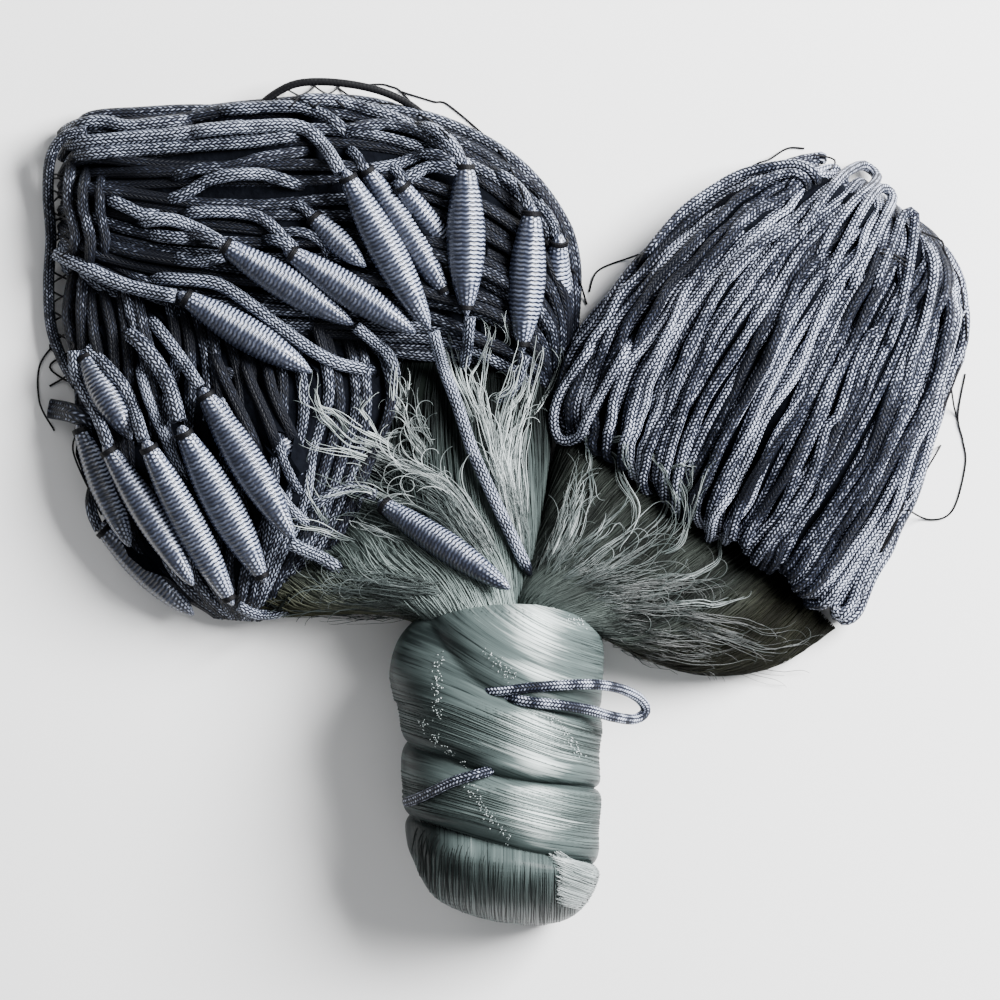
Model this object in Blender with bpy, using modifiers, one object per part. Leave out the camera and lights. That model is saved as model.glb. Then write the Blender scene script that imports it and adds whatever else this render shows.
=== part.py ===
"""A gill net bundled for storage: netting wound into a handle, its float line and its lead line.

The bundle lies on a flat surface. +X runs to the right across the bundle, +Y from the wound
handle towards the lines, and +Z up. The tables are in millimetres on a plan of the bundle;
ORIGIN is the plan's point under the middle of the bundle, which is the part's origin.
"""

import math
import random
from collections import namedtuple

import bmesh
import bpy
from mathutils import Vector
from mathutils.bvhtree import BVHTree

MM = 0.001
ORIGIN = (2.2, -0.5)
CLEARANCE = 0.4  # between neighbouring pieces
CUT_DEPTH = 3.0  # how far a cutter reaches below the surface that the bundle lies on
WELD = 0.02

FLOAT_LINE_RADIUS = 2.6
FAT_LINE_RADIUS = 3.1  # where the float line swells over the end of a float
THIN_LINE_RADIUS = 2.0
STUB_RADIUS = 4.4
EDGE_RUN_RADIUS = 2.3
LEAD_LINE_RADIUS = 2.1
WALL_NET_RADIUS = 1.9
LINE_STEP = 7.0  # between the points of a line's centre
LOOP_STEP = 5.25
LINE_ROUNDNESS = 1  # bevel resolution: 6 sides
LOOP_ROUNDNESS = 2
FLOAT_SIDES = 8

# One row for each cross-section of a bundle: its two edges on the plan, the height of its
# middle, and the height at which its edge is widest.
Station = namedtuple("Station", "left_x left_y right_x right_y crown rim")
# A bundle of folded line or netting: its cross-sections, the folds across it and their height,
# the smooth steps between two stations, and the seed of its unevenness.
Bundle = namedtuple("Bundle", "stations folds fold_height steps seed")
# A float: the plan of its two tapered ends, its largest radius, how far its axis lies above the
# bundle's surface (sunk where negative), and how much deeper its tail lies.
Float = namedtuple("Float", "head_x head_y tail_x tail_y radius lift dip", defaults=(0,))
# A stretch of line over the bundle: its radius, how far its axis lies above the surface, and its
# route on the plan.
Run = namedtuple("Run", "radius lift route")
# A line that stands clear of the bundle: its radius, finish, roundness, step, and its route with
# heights.
FreeLine = namedtuple("FreeLine", "radius finish roundness step route")
# A cross-section of the wound handle: its distance along the bundle, the middle and half of its
# width, its height, and how far round the winding has come, in degrees.
Turn = namedtuple("Turn", "along middle half_width height wound")

LEAD_LINE = Bundle([
    Station(30, 22, 134, -46, 14, 6),
    Station(23, 34, 143, -46, 27, 8),
    Station(25, 46, 154, -28, 37, 9),
    Station(34, 68, 168, -2, 47, 10),
    Station(52, 95, 181, 34, 52, 11),
    Station(76, 120, 188, 68, 50, 11),
    Station(98, 133, 187, 90, 43, 10),
    Station(118, 140, 180, 105, 33, 9),
    Station(131, 139, 167, 113, 17, 7),
], folds=15, fold_height=3.4, steps=2, seed=3)
FLOAT_LINE_UPPER = Bundle([
    Station(-170, 92, -170, 146, 15, 6),
    Station(-160, 78, -162, 153, 24, 8),
    Station(-130, 66, -138, 156, 33, 9),
    Station(-92, 58, -98, 159, 38, 9),
    Station(-52, 56, -54, 160, 40, 9),
    Station(-24, 56, -14, 147, 38, 9),
    Station(-2, 50, 14, 128, 33, 9),
    Station(10, 48, 27, 100, 26, 8),
    Station(14, 44, 27, 70, 14, 6),
], folds=7, fold_height=3.6, steps=2, seed=9)
FLOAT_LINE_LOWER = Bundle([
    Station(-172, 92, -70, 92, 18, 7),
    Station(-175, 74, -42, 74, 30, 8),
    Station(-172, 50, -36, 44, 34, 9),
    Station(-173, 24, -44, 16, 34, 9),
    Station(-166, -2, -56, -12, 32, 9),
    Station(-152, -24, -72, -30, 27, 8),
    Station(-134, -38, -84, -42, 20, 7),
    Station(-118, -46, -94, -47, 11, 5),
], folds=8, fold_height=3.0, steps=2, seed=8)
NET_FAN_LEFT = Bundle([
    Station(-26, -62, 14, -58, 40, 14),
    Station(-32, -50, 10, -38, 52, 13),
    Station(-52, -45, 13, -14, 47, 11),
    Station(-80, -46, 16, 14, 38, 9),
    Station(-98, -46, 20, 40, 28, 7),
    Station(-116, -45, 22, 58, 15, 5),
], folds=8, fold_height=2.5, steps=1, seed=11)
NET_FAN_MIDDLE = Bundle([
    Station(-22, -54, 14, -54, 42, 12),
    Station(-30, -28, 16, -26, 45, 11),
    Station(-42, -2, 18, 2, 38, 9),
    Station(-50, 24, 20, 26, 31, 8),
    Station(-52, 48, 21, 48, 24, 7),
    Station(-50, 66, 22, 62, 15, 5),
], folds=5, fold_height=2.5, steps=1, seed=13)
NET_FAN_RIGHT = Bundle([
    Station(0, -58, 30, -62, 40, 14),
    Station(4, -38, 38, -53, 50, 13),
    Station(13, -16, 58, -62, 44, 11),
    Station(20, 8, 84, -69, 36, 9),
    Station(28, 30, 108, -66, 27, 7),
    Station(46, 36, 128, -55, 15, 5),
], folds=7, fold_height=2.5, steps=1, seed=12)

HANDLE = [
    Turn(-40, 2, 24, 44, 50),
    Turn(-45, 2, 34, 62, 30),
    Turn(-55, 1, 40, 70, -5),
    Turn(-75, -1, 43, 74, -95),
    Turn(-95, 1, 42, 74, -290),
    Turn(-115, 1, 41, 72, -500),
    Turn(-135, 1, 40, 70, -775),
    Turn(-150, 3, 37, 66, -950),
    Turn(-162, 4, 30, 54, -1040),
    Turn(-171, 6, 15, 30, -1080),
]
HANDLE_SIDES = 24
HANDLE_STEPS = 3
GROOVE = 0.2  # depth of the groove between one turn of the winding and the next, as a share of the radius
GROOVE_SHARPNESS = 2.6
HANDLE_AXIS = 0.47  # height of the handle's middle, as a share of its height
HANDLE_RISE = 0.53  # from the middle to the top; a little less lies below, pressed flat

FLOATS = [
    Float(-61.6, 127.2, -28.4, 71.6, 6.6, 4.8),
    Float(-53.8, 130.0, -21.3, 84.5, 5.5, -2.2),
    Float(-37.5, 125.0, -16.5, 92.0, 4.2, 3.5, 13),
    Float(-15.2, 132.4, -12.0, 76.8, 7.3, 4),
    Float(11.2, 114.4, 10.4, 62.4, 6.9, 4),
    Float(22.0, 103.6, 23.0, 61.6, 5.2, 0),
    Float(-81.8, 99.0, -37.5, 67.5, 6.2, 3),
    Float(-109.2, 101.0, -61.6, 71.8, 6.3, 3),
    Float(-74.0, 112.0, -56.0, 95.0, 4.4, 1),
    Float(-125.6, 79.2, -77.6, 54.0, 6.4, 4),
    Float(-117.2, 41.2, -84.0, -13.0, 6.7, 4),
    Float(-126.0, 26.5, -95.2, -30.4, 7.2, 4),
    Float(-141.2, 20.0, -107.2, -38.8, 6.2, 4),
    Float(-156.0, 19.2, -124.6, -31.2, 5.7, 3),
    Float(-169.0, 27.2, -148.5, -15.0, 5.4, -3),
    Float(-160.0, -13.2, -125.0, -43.0, 5.6, -1),
    Float(-165.0, 57.6, -150.0, 26.0, 5.8, -1),
    Float(-45.2, -1.2, 1.0, -35.0, 5.4, 4),
    Float(-101.0, 44.0, -81.0, 13.0, 5.0, -6),
]
RUNS = {
    "bend_to_first": Run(FLOAT_LINE_RADIUS, 1.5, [
        (-126, 147), (-100, 149), (-80, 149), (-70, 141), (-63.4, 130.4)]),
    "front_feed": Run(FLOAT_LINE_RADIUS, 1.5, [(-166, 93), (-150, 86), (-138, 83), (-129.5, 81.4)]),
    "front_return": Run(FLOAT_LINE_RADIUS, 1.5, [
        (-126, 88), (-112, 86), (-98, 77), (-82, 64.5), (-66, 55), (-49, 51.5)]),
    "third_tail": Run(FLOAT_LINE_RADIUS, 1.5, [(-57.4, 69), (-50, 63), (-44, 57), (-39, 49)]),
    "waist_lead": Run(FLOAT_LINE_RADIUS, 2.0, [
        (-26.4, 67), (-23, 54), (-18, 38), (-9, 20), (-1, 2), (5, -18), (9, -32)]),
    "upright_tail": Run(FLOAT_LINE_RADIUS, 1.5, [(-12, 72), (-12, 62), (-10, 52)]),
    "right_tail": Run(FLOAT_LINE_RADIUS, 1.5, [(10, 57.6), (8, 48), (4, 36)]),
    "fat_feed": Run(FAT_LINE_RADIUS, 1.5, [(-146, 65), (-138, 56), (-132, 45), (-128, 31.6)]),
    "inner_feed": Run(FLOAT_LINE_RADIUS, 1.5, [(-142, 75), (-133, 64), (-125, 53), (-119.8, 45.2)]),
    "low_feed": Run(FLOAT_LINE_RADIUS, 1.5, [
        (-158, 70), (-151, 58), (-147, 46), (-144.5, 34), (-142.8, 25)]),
    "between": Run(THIN_LINE_RADIUS, 1.0, [
        (-139, 40), (-136.5, 31), (-132.8, 23), (-128.3, 13), (-123.5, 5)]),
    "arc": Run(FLOAT_LINE_RADIUS, 1.5, [(-80, -6), (-68, 2), (-58, 4.5), (-49.6, 1.6)]),
    "tail_end": Run(FAT_LINE_RADIUS, 1.5, [(-81.6, -17), (-72, -21), (-60, -31)]),
    "bottom_bight": Run(FLOAT_LINE_RADIUS, 1.0, [(-104.6, -42.4), (-97, -46), (-88, -45), (-81, -40)]),
    "left_stub": Run(STUB_RADIUS, -3.0, [(-180.5, 37), (-174, 35.5), (-168, 33.5), (-163, 31.5)]),
}
FREE_LINES = {
    "edge_run": FreeLine(EDGE_RUN_RADIUS, "float_line", LINE_ROUNDNESS, LINE_STEP, [
        (-166, 148, 22), (-175, 146, 19), (-180.5, 138, 15), (-182, 124, 10), (-181, 106, 7),
        (-182, 88, 6), (-181, 70, 6), (-176, 56, 9), (-170, 46, 15)]),
    "wall_net_edge": FreeLine(WALL_NET_RADIUS, "wall_netting", LINE_ROUNDNESS, LINE_STEP, [
        (-98, 157, 14), (-91, 163, 15), (-81, 167.5, 16), (-66, 167.8, 16), (-50, 165, 15),
        (-38, 160, 14), (-30, 154, 15)]),
    "tucked_end": FreeLine(LEAD_LINE_RADIUS, "lead_line", LINE_ROUNDNESS, LINE_STEP, [
        (-33, -118.5, 55), (-26, -115, 63), (-18, -111, 69), (-10, -108.5, 72)]),
    "tie_loop": FreeLine(LEAD_LINE_RADIUS, "lead_line", LOOP_ROUNDNESS, LOOP_STEP, [
        (-2, -75.5, 66.5), (12, -74, 69.5), (26, -73, 69), (38, -73, 63), (48, -75, 53),
        (55.5, -79, 46), (58, -84, 43), (53.5, -87.2, 46), (45, -86, 55), (35, -83, 63),
        (24, -81, 69.5), (10, -79.5, 71.5)]),
}

# Colour and roughness of each finish.
FINISHES = {
    "netting": ((0.42, 0.48, 0.46, 1), 0.35),
    "lead_line": ((0.16, 0.18, 0.25, 1), 0.5),
    "float_line": ((0.09, 0.10, 0.14, 1), 0.55),
    "float_cover": ((0.20, 0.22, 0.29, 1), 0.45),
    "wall_netting": ((0.06, 0.06, 0.06, 1), 0.6),
}


def clear_scene():
    for obj in list(bpy.data.objects):
        bpy.data.objects.remove(obj, do_unlink=True)


def new_collection(name):
    collection = bpy.data.collections.new(name)
    bpy.context.scene.collection.children.link(collection)
    return collection


def material(name):
    """The shared Principled material of this name."""
    found = bpy.data.materials.get(name)
    if found:
        return found
    made = bpy.data.materials.new(name)
    made.use_nodes = True
    shader = made.node_tree.nodes["Principled BSDF"]
    colour, roughness = FINISHES[name]
    shader.inputs["Base Color"].default_value = colour
    shader.inputs["Roughness"].default_value = roughness
    return made


def at(x, y, z):
    """A point of the plan, in metres from the part's origin."""
    return Vector((x - ORIGIN[0], y - ORIGIN[1], z)) * MM


def link(name, data, collection, finish=None):
    obj = bpy.data.objects.new(name, data)
    collection.objects.link(obj)
    if finish:
        data.materials.append(material(finish))
    return obj


def helper(obj):
    """Marks a cutter or an inner shape, which isn't a piece of the net."""
    obj.hide_render = True
    obj.display_type = "WIRE"
    return obj


# --- curves through rows ------------------------------------------------------------------------


def spline(rows, i, t):
    """A Catmull-Rom point between rows i and i + 1, each a tuple of numbers."""
    a, b, c, d = (rows[min(max(k, 0), len(rows) - 1)] for k in (i - 1, i, i + 1, i + 2))
    return [
        0.5 * (2 * q + (r - p) * t + (2 * p - 5 * q + 4 * r - s) * t**2 + (3 * q - p - 3 * r + s) * t**3)
        for p, q, r, s in zip(a, b, c, d)
    ]


def smooth_rows(rows, steps):
    """The rows again, with smooth steps between neighbours."""
    found = [spline(rows, i, k / steps) for i in range(len(rows) - 1) for k in range(steps)]
    return found + [list(rows[-1])]


def route_points(route, step):
    """Points about a step apart on a smooth curve through a route's own points."""
    fine = smooth_rows(route, 12)
    lengths = [0.0]
    for a, b in zip(fine, fine[1:]):
        lengths.append(lengths[-1] + math.dist(a, b))
    count = max(2, round(lengths[-1] / step))
    points = []
    k = 0
    for n in range(count + 1):
        want = lengths[-1] * n / count
        while k < len(fine) - 2 and lengths[k + 1] < want:
            k += 1
        share = (want - lengths[k]) / max(lengths[k + 1] - lengths[k], 1e-9)
        points.append([a + (b - a) * share for a, b in zip(fine[k], fine[k + 1])])
    return points


# --- bundles of folded line and netting ---------------------------------------------------------


def loft(name, sections):
    """A closed mesh through sections that each have the same number of points."""
    mesh = bpy.data.meshes.new(name)
    bm = bmesh.new()
    rings = [[bm.verts.new(p) for p in section] for section in sections]
    for ring, after in zip(rings, rings[1:]):
        for k in range(len(ring)):
            n = (k + 1) % len(ring)
            bm.faces.new((ring[k], ring[n], after[n], after[k]))
    bm.faces.new(reversed(rings[0]))
    bm.faces.new(rings[-1])
    bmesh.ops.recalc_face_normals(bm, faces=bm.faces)
    bm.to_mesh(mesh)
    bm.free()
    mesh.shade_smooth()
    return mesh


def bundle_section(station, fold_heights, grow):
    """One closed outline across a bundle: a folded crown over a flat underside."""
    left = Vector((station[0], station[1]))
    right = Vector((station[2], station[3]))
    crown = station[4] + grow
    rim = station[5]
    across = (right - left).normalized()
    left -= across * grow
    right += across * grow
    outline = []
    count = 2 * len(fold_heights)
    for k in range(count + 1):
        even = k / count
        u = 0.45 * even + 0.55 * (1 - math.cos(math.pi * even)) / 2  # closer near the edges
        z = rim + (crown - rim) * (1 - abs(2 * u - 1) ** 2.4) ** (1 / 2.4)
        if k % 2:
            z += fold_heights[k // 2] * math.sin(math.pi * u)
        outline.append((u, z))
    floor = -CUT_DEPTH if grow else 0.0
    tuck = floor if grow else rim * 0.45
    outline.append((0.985, tuck))
    outline.extend((u, floor) for u in (0.95, 0.7, 0.3, 0.05))
    outline.append((0.015, tuck))
    return [at(*left.lerp(right, u), z) for u, z in outline]


def bundle_mesh(name, bundle, grow=0.0):
    """A heap of line or netting whose main folds run from its first station to its last."""
    chance = random.Random(bundle.seed)
    heights = [bundle.fold_height * chance.uniform(0.5, 1.2) for _ in range(bundle.folds)]
    sections = []
    for row in smooth_rows(bundle.stations, bundle.steps):
        heights = [h * 0.8 + 0.2 * bundle.fold_height * chance.uniform(0.2, 1.8) for h in heights]
        sections.append(bundle_section(row, heights, grow))
    return loft(name, sections)


def handle_mesh(name):
    """The handle: bunched netting wound in turns that lie against each other."""
    sections = []
    for along, middle, half_width, height, wound in smooth_rows(HANDLE, HANDLE_STEPS):
        ring = []
        for k in range(HANDLE_SIDES):
            angle = 2 * math.pi * k / HANDLE_SIDES
            from_groove = abs(math.cos((angle - math.radians(wound)) / 2))
            swell = 1 - GROOVE * (1 - from_groove) ** GROOVE_SHARPNESS
            x = middle + half_width * swell * math.cos(angle)
            z = height * (HANDLE_AXIS + HANDLE_RISE * swell * math.sin(angle))
            ring.append(at(x, along, max(z, 0.0)))
        sections.append(ring)
    return loft(name, sections)


# --- floats and lines ---------------------------------------------------------------------------


def float_profile(length, radius, end_radius):
    """The float's outline from its upper tip to its lower one, as (radius, height) pairs."""
    rows = [(0.0, length / 2)]
    for t in (1.0, 0.68, 0.36, 0.0, -0.36, -0.68, -1.0):
        swell = max(math.cos(t * math.pi / 2), 0.0) ** 0.8
        rows.append((end_radius + (radius - end_radius) * swell, t * length / 2))
    return rows + [(0.0, -length / 2)]


def float_solid(name, head, tail, radius, collection, grow=0.0):
    """A turned spindle between two points in millimetres on the plan."""
    start = at(*head)
    end = at(*tail)
    axis = start - end
    end_radius = FLOAT_LINE_RADIUS * 0.75 + grow
    mesh = bpy.data.meshes.new(name)
    bm = bmesh.new()
    profile = float_profile(axis.length / MM + 2 * grow, radius + grow, end_radius)
    line = [bm.verts.new((r * MM, 0, z * MM)) for r, z in profile]
    for a, b in zip(line, line[1:]):
        bm.edges.new((a, b))
    bm.to_mesh(mesh)
    bm.free()
    obj = link(name, mesh, collection, "float_cover")
    turn = obj.modifiers.new("turn", "SCREW")
    turn.steps = turn.render_steps = FLOAT_SIDES
    turn.use_merge_vertices = True
    turn.merge_threshold = 0.00005
    obj.location = (start + end) / 2
    obj.rotation_mode = "QUATERNION"
    obj.rotation_quaternion = axis.to_track_quat("Z", "Y")
    return obj


def tube(name, points, radius, collection, finish, roundness):
    """A round line through points in millimetres on the plan."""
    curve = bpy.data.curves.new(name, "CURVE")
    curve.dimensions = "3D"
    curve.bevel_depth = radius * MM
    curve.bevel_resolution = roundness
    curve.use_fill_caps = True
    path = curve.splines.new("POLY")
    path.points.add(len(points) - 1)
    for point, place in zip(path.points, points):
        point.co = (*at(*place), 1)
    return link(name, curve, collection, finish)


def as_cutter(obj, collection):
    """A welded mesh copy of a curve or a modified object, in place; the original is removed."""
    bpy.context.view_layer.update()
    graph = bpy.context.evaluated_depsgraph_get()
    mesh = bpy.data.meshes.new_from_object(obj.evaluated_get(graph))
    mesh.transform(obj.matrix_world)
    name = obj.name
    bpy.data.objects.remove(obj, do_unlink=True)
    bm = bmesh.new()
    bm.from_mesh(mesh)
    bmesh.ops.remove_doubles(bm, verts=bm.verts, dist=WELD * MM)
    bmesh.ops.recalc_face_normals(bm, faces=bm.faces)
    bm.to_mesh(mesh)
    bm.free()
    return helper(link(name, mesh, collection))


class Terrain:
    """The upper surface of the bundles, on which floats and lines are laid."""

    def __init__(self, meshes):
        self.trees = []
        for mesh in meshes:
            mesh.calc_loop_triangles()
            self.trees.append(BVHTree.FromPolygons(
                [v.co for v in mesh.vertices], [tuple(t.vertices) for t in mesh.loop_triangles]))

    def height(self, x, y):
        """The height at a point of the plan, in millimetres; the surface below is 0."""
        above = at(x, y, 500)
        hits = [tree.ray_cast(above, Vector((0, 0, -1)))[0] for tree in self.trees]
        return max([0.0] + [hit.z / MM for hit in hits if hit])

    def laid_route(self, run):
        """The run's points with their heights over the bundles, smoothed along the line."""
        plan = route_points(run.route, LINE_STEP)
        heights = [max(self.height(x, y) + run.lift, run.radius + 0.2) for x, y in plan]
        for _ in range(2):
            middle = [(a + 2 * b + c) / 4 for a, b, c in zip(heights, heights[1:], heights[2:])]
            heights = [heights[0], *middle, heights[-1]]
        return [(x, y, z) for (x, y), z in zip(plan, heights)]

    def laid_float(self, row):
        """The float's two ends, raised where the bundle under its middle is higher."""
        tail_lift = row.lift - row.dip
        head_z = max(self.height(row.head_x, row.head_y) + row.lift, row.radius * 0.7)
        tail_z = max(self.height(row.tail_x, row.tail_y) + tail_lift, row.radius * 0.7)
        between = (head_z + tail_z) / 2
        under = self.height((row.head_x + row.tail_x) / 2, (row.head_y + row.tail_y) / 2)
        rise = max(0.0, (under + (row.lift + tail_lift) / 2 - between) * 0.6, row.radius + 0.1 - between)
        return (row.head_x, row.head_y, head_z + rise), (row.tail_x, row.tail_y, tail_z + rise)


# --- the net ------------------------------------------------------------------------------------


def combine(obj, operation, others):
    """Joins the others to the object, or takes them out of it."""
    for other in others:
        boolean = obj.modifiers.new(other.name, "BOOLEAN")
        boolean.operation = operation
        boolean.solver = "MANIFOLD"  # EXACT loses the bundles at some of the thin lines
        boolean.object = other


def main():
    clear_scene()
    pieces = new_collection("gill_net")
    cutters = new_collection("cutters")

    lead = bundle_mesh("lead_line", LEAD_LINE)
    upper = bundle_mesh("float_line", FLOAT_LINE_UPPER)
    lower = bundle_mesh("float_line_lower", FLOAT_LINE_LOWER)
    handle = handle_mesh("netting")
    fans = [
        bundle_mesh("net_fan_left", NET_FAN_LEFT),
        bundle_mesh("net_fan_middle", NET_FAN_MIDDLE),
        bundle_mesh("net_fan_right", NET_FAN_RIGHT),
    ]
    terrain = Terrain([lead, upper, lower, handle, *fans])
    link("lead_line", lead, pieces, "lead_line")
    float_line = link("float_line", upper, pieces, "float_line")
    netting = link("netting", handle, pieces, "netting")
    combine(float_line, "UNION", [helper(link("float_line_lower", lower, cutters))])
    combine(netting, "UNION", [helper(link(fan.name, fan, cutters)) for fan in fans])

    seats = []
    for number, row in enumerate(FLOATS, 1):
        head, tail = terrain.laid_float(row)
        float_solid(f"float_{number:02d}", head, tail, row.radius, pieces)
        grown = float_solid(f"seat_{number:02d}", head, tail, row.radius, cutters, CLEARANCE)
        seats.append(as_cutter(grown, cutters))
    lines = {
        name: FreeLine(run.radius, "float_line", LINE_ROUNDNESS, LINE_STEP, terrain.laid_route(run))
        for name, run in RUNS.items()
    }
    for name, line in FREE_LINES.items():
        lines[name] = line._replace(route=route_points(line.route, line.step))
    for name, line in lines.items():
        tube(f"line_{name}", line.route, line.radius, pieces, line.finish, line.roundness)
        grown = tube(
            f"seat_{name}", line.route, line.radius + CLEARANCE, cutters, line.finish, line.roundness)
        seats.append(as_cutter(grown, cutters))

    around_lead = helper(link("around_lead", bundle_mesh("around_lead", LEAD_LINE, CLEARANCE), cutters))
    around_lines = [
        helper(link(name, bundle_mesh(name, bundle, CLEARANCE), cutters))
        for name, bundle in (("around_upper", FLOAT_LINE_UPPER), ("around_lower", FLOAT_LINE_LOWER))
    ]
    combine(float_line, "DIFFERENCE", [around_lead, *seats])
    combine(netting, "DIFFERENCE", [around_lead, *around_lines, *seats])


if __name__ == "__main__":
    main()
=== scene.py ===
"""The looks of a gill net bundled for storage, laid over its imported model.

The net lies on a flat surface. Its netting is wound into a handle and spreads in fans to the float
line on the left and the lead line on the right. The tables are in millimetres on a plan of the
bundle, with +X to the right and +Y from the handle towards the lines; ORIGIN is the plan's point
that lies at the model's origin.
"""

import logging
import math
from dataclasses import dataclass
from enum import Enum
from typing import Any, Dict, List, Optional, Sequence, Tuple, Union

import bmesh
import bpy
import numpy as np
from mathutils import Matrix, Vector
from mathutils.bvhtree import BVHTree


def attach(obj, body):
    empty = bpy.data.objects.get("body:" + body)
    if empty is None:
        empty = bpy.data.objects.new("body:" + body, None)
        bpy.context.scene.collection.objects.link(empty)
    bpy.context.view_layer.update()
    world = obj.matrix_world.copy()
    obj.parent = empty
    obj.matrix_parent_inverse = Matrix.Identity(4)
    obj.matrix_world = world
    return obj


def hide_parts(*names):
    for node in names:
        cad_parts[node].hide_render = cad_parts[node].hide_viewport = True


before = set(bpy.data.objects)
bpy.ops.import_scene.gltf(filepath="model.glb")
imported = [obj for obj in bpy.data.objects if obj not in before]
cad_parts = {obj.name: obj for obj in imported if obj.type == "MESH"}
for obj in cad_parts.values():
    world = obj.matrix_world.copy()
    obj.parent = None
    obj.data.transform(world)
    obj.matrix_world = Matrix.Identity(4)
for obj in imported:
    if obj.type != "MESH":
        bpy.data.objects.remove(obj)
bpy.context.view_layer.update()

MM = 0.001
ORIGIN = (2.2, -0.5)
BODY = "root"
WELD = 1e-6  # metres: closes the seam of a tube and its ends
CAD_WELD = 1e-5  # metres: joins the loose triangles of a solid
SKY = 0.5  # metres: above the whole net
PRESS = 0.35  # how far line sinks into the line below, as a share of its radius
CLEARANCE = 0.5  # of hidden surfaces above the floor

LEAD_LINE_RADIUS = 2.1
FLOAT_LINE_RADIUS = 2.6
TWINE_RADIUS = 0.42
FILAMENT_RADIUS = 0.27
FLOAT_TIP_RADIUS = 2.3
FLOAT_HEAD_EXTRA = 0.9  # how much thicker a float's head is than its tail

Array = np.ndarray
Pair = Tuple[float, float]
Colour = Tuple[float, float, float, float]
Numbers = Union[float, Array]
Route = Sequence[Tuple[float, ...]]
log = logging.getLogger("gill_net")


# --- shader maths -------------------------------------------------------------------------------


class Field:
    """A value that varies over a surface: one socket, on which arithmetic adds Math nodes."""

    def __init__(self, paint: "Paint", socket: bpy.types.NodeSocket) -> None:
        """Wraps a socket of the paint's node tree."""
        self.paint = paint
        self.socket = socket

    def __add__(self, other: Any) -> "Field":
        """self + other."""
        return self.paint.math("ADD", self, other)

    __radd__ = __add__

    def __sub__(self, other: Any) -> "Field":
        """self - other."""
        return self.paint.math("SUBTRACT", self, other)

    def __rsub__(self, other: Any) -> "Field":
        """other - self."""
        return self.paint.math("SUBTRACT", other, self)

    def __mul__(self, other: Any) -> "Field":
        """self * other."""
        return self.paint.math("MULTIPLY", self, other)

    __rmul__ = __mul__

    def __pow__(self, other: Any) -> "Field":
        """self ** other."""
        return self.paint.math("POWER", self, other)


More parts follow.
